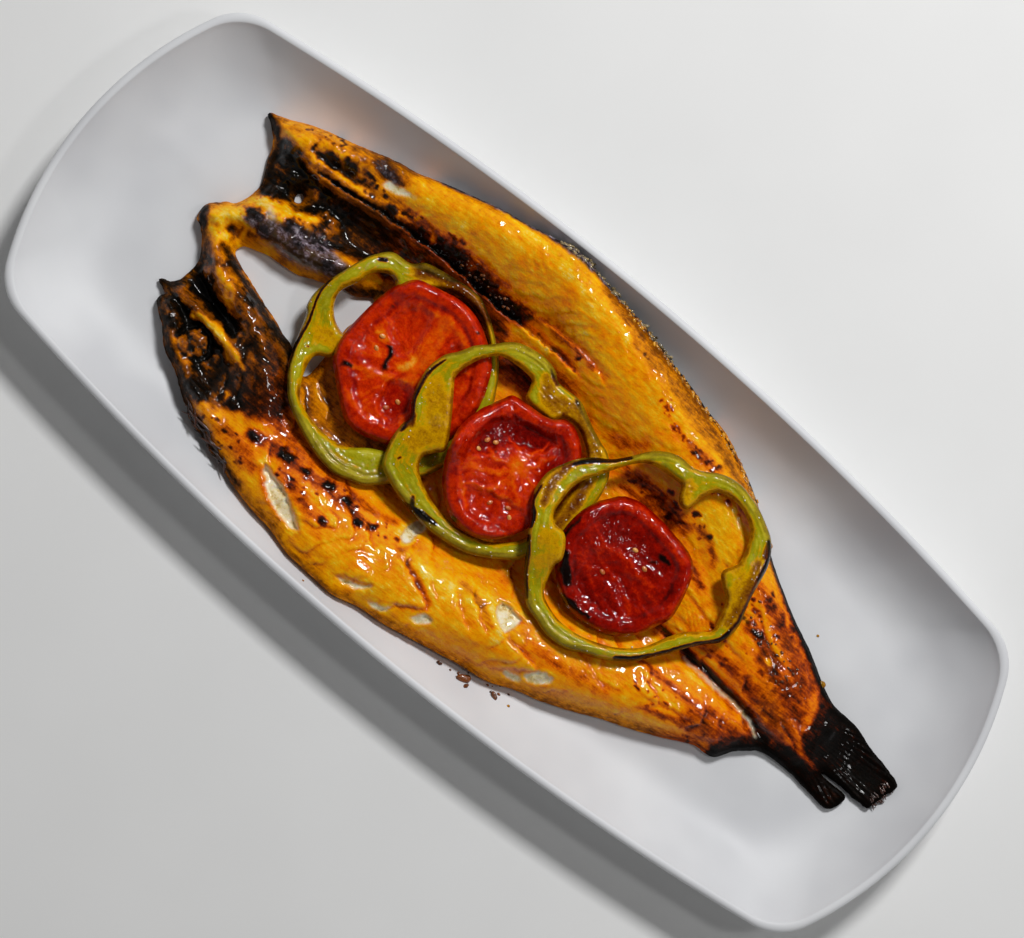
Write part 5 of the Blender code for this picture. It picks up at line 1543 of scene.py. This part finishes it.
def joinLumps(name, lumps, material):
    # lumps: x, y, height above what lies there, turn, lean, size, uneven, curl
    random = np.random.default_rng(5)
    vertices, faces, tint, count = [], [], [], 0
    for x, y, lifted, turn, lean, size, uneven, curl in lumps:
        points, sides = lumpPoints(size, uneven, curl, int(random.integers(1, 9999)))
        spin = Matrix.Rotation(math.radians(turn), 3, "Z") @ Matrix.Rotation(math.radians(lean), 3, "Y")
        points = points @ np.array(spin).T
        ground = readGrid(land, land["height"], np.array([x]), np.array([y]))[0]
        vertices.append(points + (x, y, ground + lifted))
        faces += [tuple(count + i for i in side) for side in sides]
        tint.append(np.full(len(points), random.uniform(0, 1)))
        count += len(points)
    piece = meshOf(name, np.concatenate(vertices), faces, material, {"tint": np.concatenate(tint)})
    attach(piece, "root")


def scatteredAlong(route, count, spread, sizes, uneven, lifted, seed, turn=0, curl=0, lean=20):
    # lumps beside a route: sizes are the smallest and the largest
    random = np.random.default_rng(seed)
    path = curveThrough(route, 0.5)
    lumps = []
    for _ in range(count):
        x, y = path[random.integers(0, len(path))] + random.uniform(-1, 1, 2) * spread
        share = random.uniform(0, 1)
        size = tuple(a + (b - a) * share * random.uniform(0.8, 1.2) for a, b in zip(*sizes))
        lumps.append((x, y, lifted * random.uniform(0.6, 1.4), turn + random.uniform(-35, 35),
                      lean * random.uniform(-1, 1), size, uneven, curl * random.uniform(0.4, 1.3)))
    return lumps


seedPlaces = (
    (-63, 8, 20), (-62, 3.5, -30), (-46.5, -10, 40), (-44.5, -6, -20), (2, -12.5, 60), (8, -10, 15),
    (10.5, -12.4, -40), (-12.4, 3.4, 70), (-13, -1, 10), (51, 7, 10), (57.5, 4, -20),
    (-9.6, 4.6, 35), (47, -6, -10),
)
# dry bits: their finish, the ones listed one by one, and the ones scattered beside a route
dryBits = {
    "toasted_crumbs": {
        "finish": ("toasted_crumb", "1E0C04", "8A4708", 0.4, 0.6),
        "placed": (
            (34, -64.5, 0.9, 25, 10, (5.6, 2.6, 1.7), 0.35, 0),
            (36.2, -66, 0.6, 70, 0, (2.2, 1.4, 1.0), 0.35, 0),
            (24, -65.8, 0.5, 15, 0, (2.2, 1.4, 1.0), 0.3, 0),
            (46, -62.4, 0.6, -30, 0, (3.4, 1.7, 1.1), 0.3, 0),
        ),
        "scattered": (
            {"route": ((30, -63), (50, -60)), "count": 14, "spread": 2.4,
             "sizes": ((0.5, 0.4, 0.3), (1.5, 1.0, 0.7)), "uneven": 0.3, "lifted": 0.3, "seed": 71},
            {"route": ((-60, 46), (-46, 45.4), (-34, 45)), "count": 26, "spread": 1.8,
             "sizes": ((0.6, 0.5, 0.5), (1.7, 1.2, 1.0)), "uneven": 0.35, "lifted": 0.25, "seed": 72},
            {"route": ((96, 18), (110, 12), (126, 4)), "count": 34, "spread": 4,
             "sizes": ((0.5, 0.4, 0.4), (1.4, 1.0, 0.8)), "uneven": 0.35, "lifted": 0.2, "seed": 73},
        ),
    },
    "frayed_scales": {
        "finish": ("dried_scale", "241608", "B09A6C", 0.3, 0.5),
        "scattered": (
            {"route": ((-37, 72.2), (-28, 73), (-18, 72), (-6, 70.4), (6, 68.6), (20, 65.8)),
             "count": 110, "spread": 1.1, "sizes": ((0.8, 0.5, 0.2), (3.0, 1.1, 0.3)), "turn": 8,
             "uneven": 0.4, "curl": 0.3, "lifted": 0.2, "lean": 50, "seed": 74},
        ),
    },
    "golden_crust": {
        "finish": ("golden_crust", "7A3A04", "F0A81C", 0.35, 0.7),
        "scattered": (
            {"route": ((-8, 69.4), (10, 66.8), (30, 62.6), (50, 57.6), (64, 52.4), (76, 45.6), (88, 37)),
             "count": 190, "spread": 1.0, "sizes": ((0.6, 0.5, 0.4), (2.4, 1.2, 0.9)), "turn": -28,
             "uneven": 0.4, "curl": 0.1, "lifted": 0.1, "seed": 77},
        ),
    },
    "burnt_fin_strands": {
        "finish": ("burnt_fin", "0C0603", "4A1F08", 0.35, 0.5),
        "scattered": (
            {"route": ((-99, -53.4), (-92, -55.8), (-84, -58.4), (-76, -61)), "count": 30, "spread": 1.2,
             "sizes": ((4, 0.45, 0.4), (11, 0.9, 0.7)), "turn": -16, "uneven": 0.2, "curl": 0.5,
             "lifted": 0.5, "lean": 8, "seed": 75},
            {"route": ((171, 4), (171.5, -1), (170.6, -7)), "count": 22, "spread": 0.6,
             "sizes": ((3, 0.4, 0.35), (5.5, 0.7, 0.5)), "turn": -6, "uneven": 0.2, "curl": 0.2,
             "lifted": -0.2, "lean": 5, "seed": 76},
        ),
    },
}
saltForm = {"perRing": 60, "inset": (0.5, 4.5), "smallest": 0.25, "growth": 0.5, "seed": 81}
# drops of oil: x, y, width, height above what lies there
oilDrops = ((131.5, 13.5, 3.0, 0.2), (120, 26, 1.1, 0.1), (-30, -74, 0.9, 0.1), (52, -62, 1.2, 0.1))


def speckled(name, low, high, gloss, spot):
    # small food with its own tint from piece to piece and fine spots within it
    m = newMaterial(name)
    place = addNode(m, "TexCoord", out="Object")
    tint = addNode(m, "Attribute", out="Fac", attribute_name="tint")
    grain = addNode(m, "TexNoise", {"Vector": place, "Scale": 1000 / spot, "Detail": 4})
    mixed = addNode(m, "Math", {0: tint, 1: 0.5, 2: grain}, operation="MULTIPLY_ADD")
    tone = addNode(m, "ValToRGB", {"Fac": mixed}, [(0.4, low), (1.0, high)])
    bump = addNode(m, "Bump", {"Height": grain, "Strength": 0.4, "Distance": 0.0003})
    shader = addNode(m, "BsdfPrincipled", {
        "Base Color": tone, "Roughness": gloss, "Normal": bump, "Coat Weight": 0.6,
        "Coat Roughness": 0.1})
    addNode(m, "OutputMaterial", {"Surface": shader})
    return m


def turmericOil():
    # a drop of golden oil: clear at its rim and deeper in colour where it is thick
    m = newMaterial("turmeric_oil")
    place = addNode(m, "TexCoord", out="Object")
    cloud = addNode(m, "TexNoise", {"Vector": place, "Scale": 1000 / 1.5, "Detail": 2})
    tone = addNode(m, "ValToRGB", {"Fac": cloud}, [(0.35, "C98205"), (0.65, "EDB23A")])
    shader = addNode(m, "BsdfPrincipled", {
        "Base Color": tone, "Roughness": 0.04, "IOR": 1.47, "Transmission Weight": 0.6})
    addNode(m, "OutputMaterial", {"Surface": shader})
    return m


seeds = [(x, y, 0.1, turn, 12, (2.3, 1.6, 0.9), 0.12, 0) for x, y, turn in seedPlaces]
joinLumps("tomato_seeds", seeds, speckled("pale_seed", "BC4412", "F0A850", 0.3, 0.8))
for name, kind in dryBits.items():
    lumps = list(kind.get("placed", ()))
    for scatter in kind["scattered"]:
        lumps += scatteredAlong(**scatter)
    joinLumps(name, lumps, speckled(*kind["finish"]))
# pale grains along the pepper rings: real grains that catch true glints, and their near-white colour is a
# painted glint
salt, random = [], np.random.default_rng(saltForm["seed"])
for ring in pepperRings.values():
    loop = turned(curveThrough(ring["outer"], 0.5, closed=True), True)
    loop -= outwardOf(loop) * random.uniform(*saltForm["inset"], len(loop))[:, None]
    for x, y in loop[random.integers(0, len(loop), saltForm["perRing"])]:
        width = saltForm["smallest"] + saltForm["growth"] * random.uniform(0, 1) ** 2
        salt.append((x, y, 0.0, random.uniform(0, 360), 20, (width, 0.85 * width, 0.6 * width), 0.3, 0))
joinLumps("salt_and_glint_grains", salt, speckled("salt_white_as_glints", "C9BE7C", "FFFFF0", 0.15, 0.5))
drops = [(x, y, up, 20, 0, (size, 0.9 * size, 0.42 * size), 0.03, 0) for x, y, size, up in oilDrops]
joinLumps("oil_drops", drops, turmericOil())
print("small pieces placed")


# The stage: a pale floor, a soft key light and a weak one from the far side, and a sky that is
# brighter near the horizon. A light is its watts, its place in mm and its size in metres.
stageForm = {
    "paper": ("F1F1F0", "F4F4F3"), "floorHalf": 2500, "floorDrop": 0.2, "horizon": 0.38, "zenith": 0.02,
    "lights": {
        "key": (10.8, (-40, 790, 1010), (0.24, 0.18)), "rim": (0.9, (460, 300, 900), (0.1, 0.1)),
    },
}
cameraForm = {"turn": 39.8, "tilt": 4.0, "lens": 100, "aim": (0.48, 1.03, 24), "distance": 974.7}


def makeStage():
    # matt pale paper under the tray, with lamps that point at the middle of it
    s = stageForm
    m = newMaterial("pale_paper")
    place = addNode(m, "TexCoord", out="Object")
    grain = addNode(m, "TexNoise", {"Vector": place, "Scale": 1000 / 60, "Detail": 2})
    tone = addNode(m, "ValToRGB", {"Fac": grain}, list(zip((0.3, 0.7), s["paper"])))
    shader = addNode(m, "BsdfPrincipled", {"Base Color": tone, "Roughness": 0.9})
    addNode(m, "OutputMaterial", {"Surface": shader})
    half, z = s["floorHalf"], -s["floorDrop"]
    corners = [(-half, -half, z), (half, -half, z), (half, half, z), (-half, half, z)]
    floor = meshOf("floor", corners, [(0, 1, 2, 3)], m, smooth=False)
    world = bpy.data.worlds.new("studio_sky")
    world.use_nodes = True
    world.node_tree.nodes.clear()
    up = addNode(world, "TexCoord", out="Generated")
    up = addNode(world, "SeparateXYZ", {0: up}, out="Z")
    glow = addNode(world, "MapRange", {
        "Value": up, "From Min": 0, "From Max": 1, "To Min": s["horizon"], "To Max": s["zenith"]})
    sky = addNode(world, "Background", {"Color": (1, 1, 1, 1), "Strength": glow})
    addNode(world, "OutputWorld", {"Surface": sky})
    bpy.context.scene.world = world
    for name, (power, spot, size) in s["lights"].items():
        lamp = bpy.data.lights.new(name, "AREA")
        lamp.shape = "RECTANGLE"
        lamp.size, lamp.size_y = size
        lamp.energy = power
        light = bpy.data.objects.new(name, lamp)
        light.location = Vector(spot) * mm
        light.rotation_euler = (-light.location).to_track_quat("-Z", "Y").to_euler()
        bpy.context.scene.collection.objects.link(light)


def makeCamera():
    c = cameraForm
    lens = bpy.data.cameras.new("camera")
    lens.lens = c["lens"]
    lens.sensor_width = 36
    lens.clip_start = 0.05
    camera = bpy.data.objects.new("camera", lens)
    turn = Matrix.Rotation(math.radians(c["tilt"]), 4, "X") @ Matrix.Rotation(math.radians(c["turn"]), 4, "Z")
    back = turn @ Vector((0, 0, c["distance"] * mm))
    camera.matrix_world = Matrix.Translation(Vector(c["aim"]) * mm + back) @ turn
    bpy.context.scene.collection.objects.link(camera)
    bpy.context.scene.camera = camera


makeStage()
makeCamera()
bpy.context.scene.view_settings.view_transform = "Standard"
print("stage and camera made")
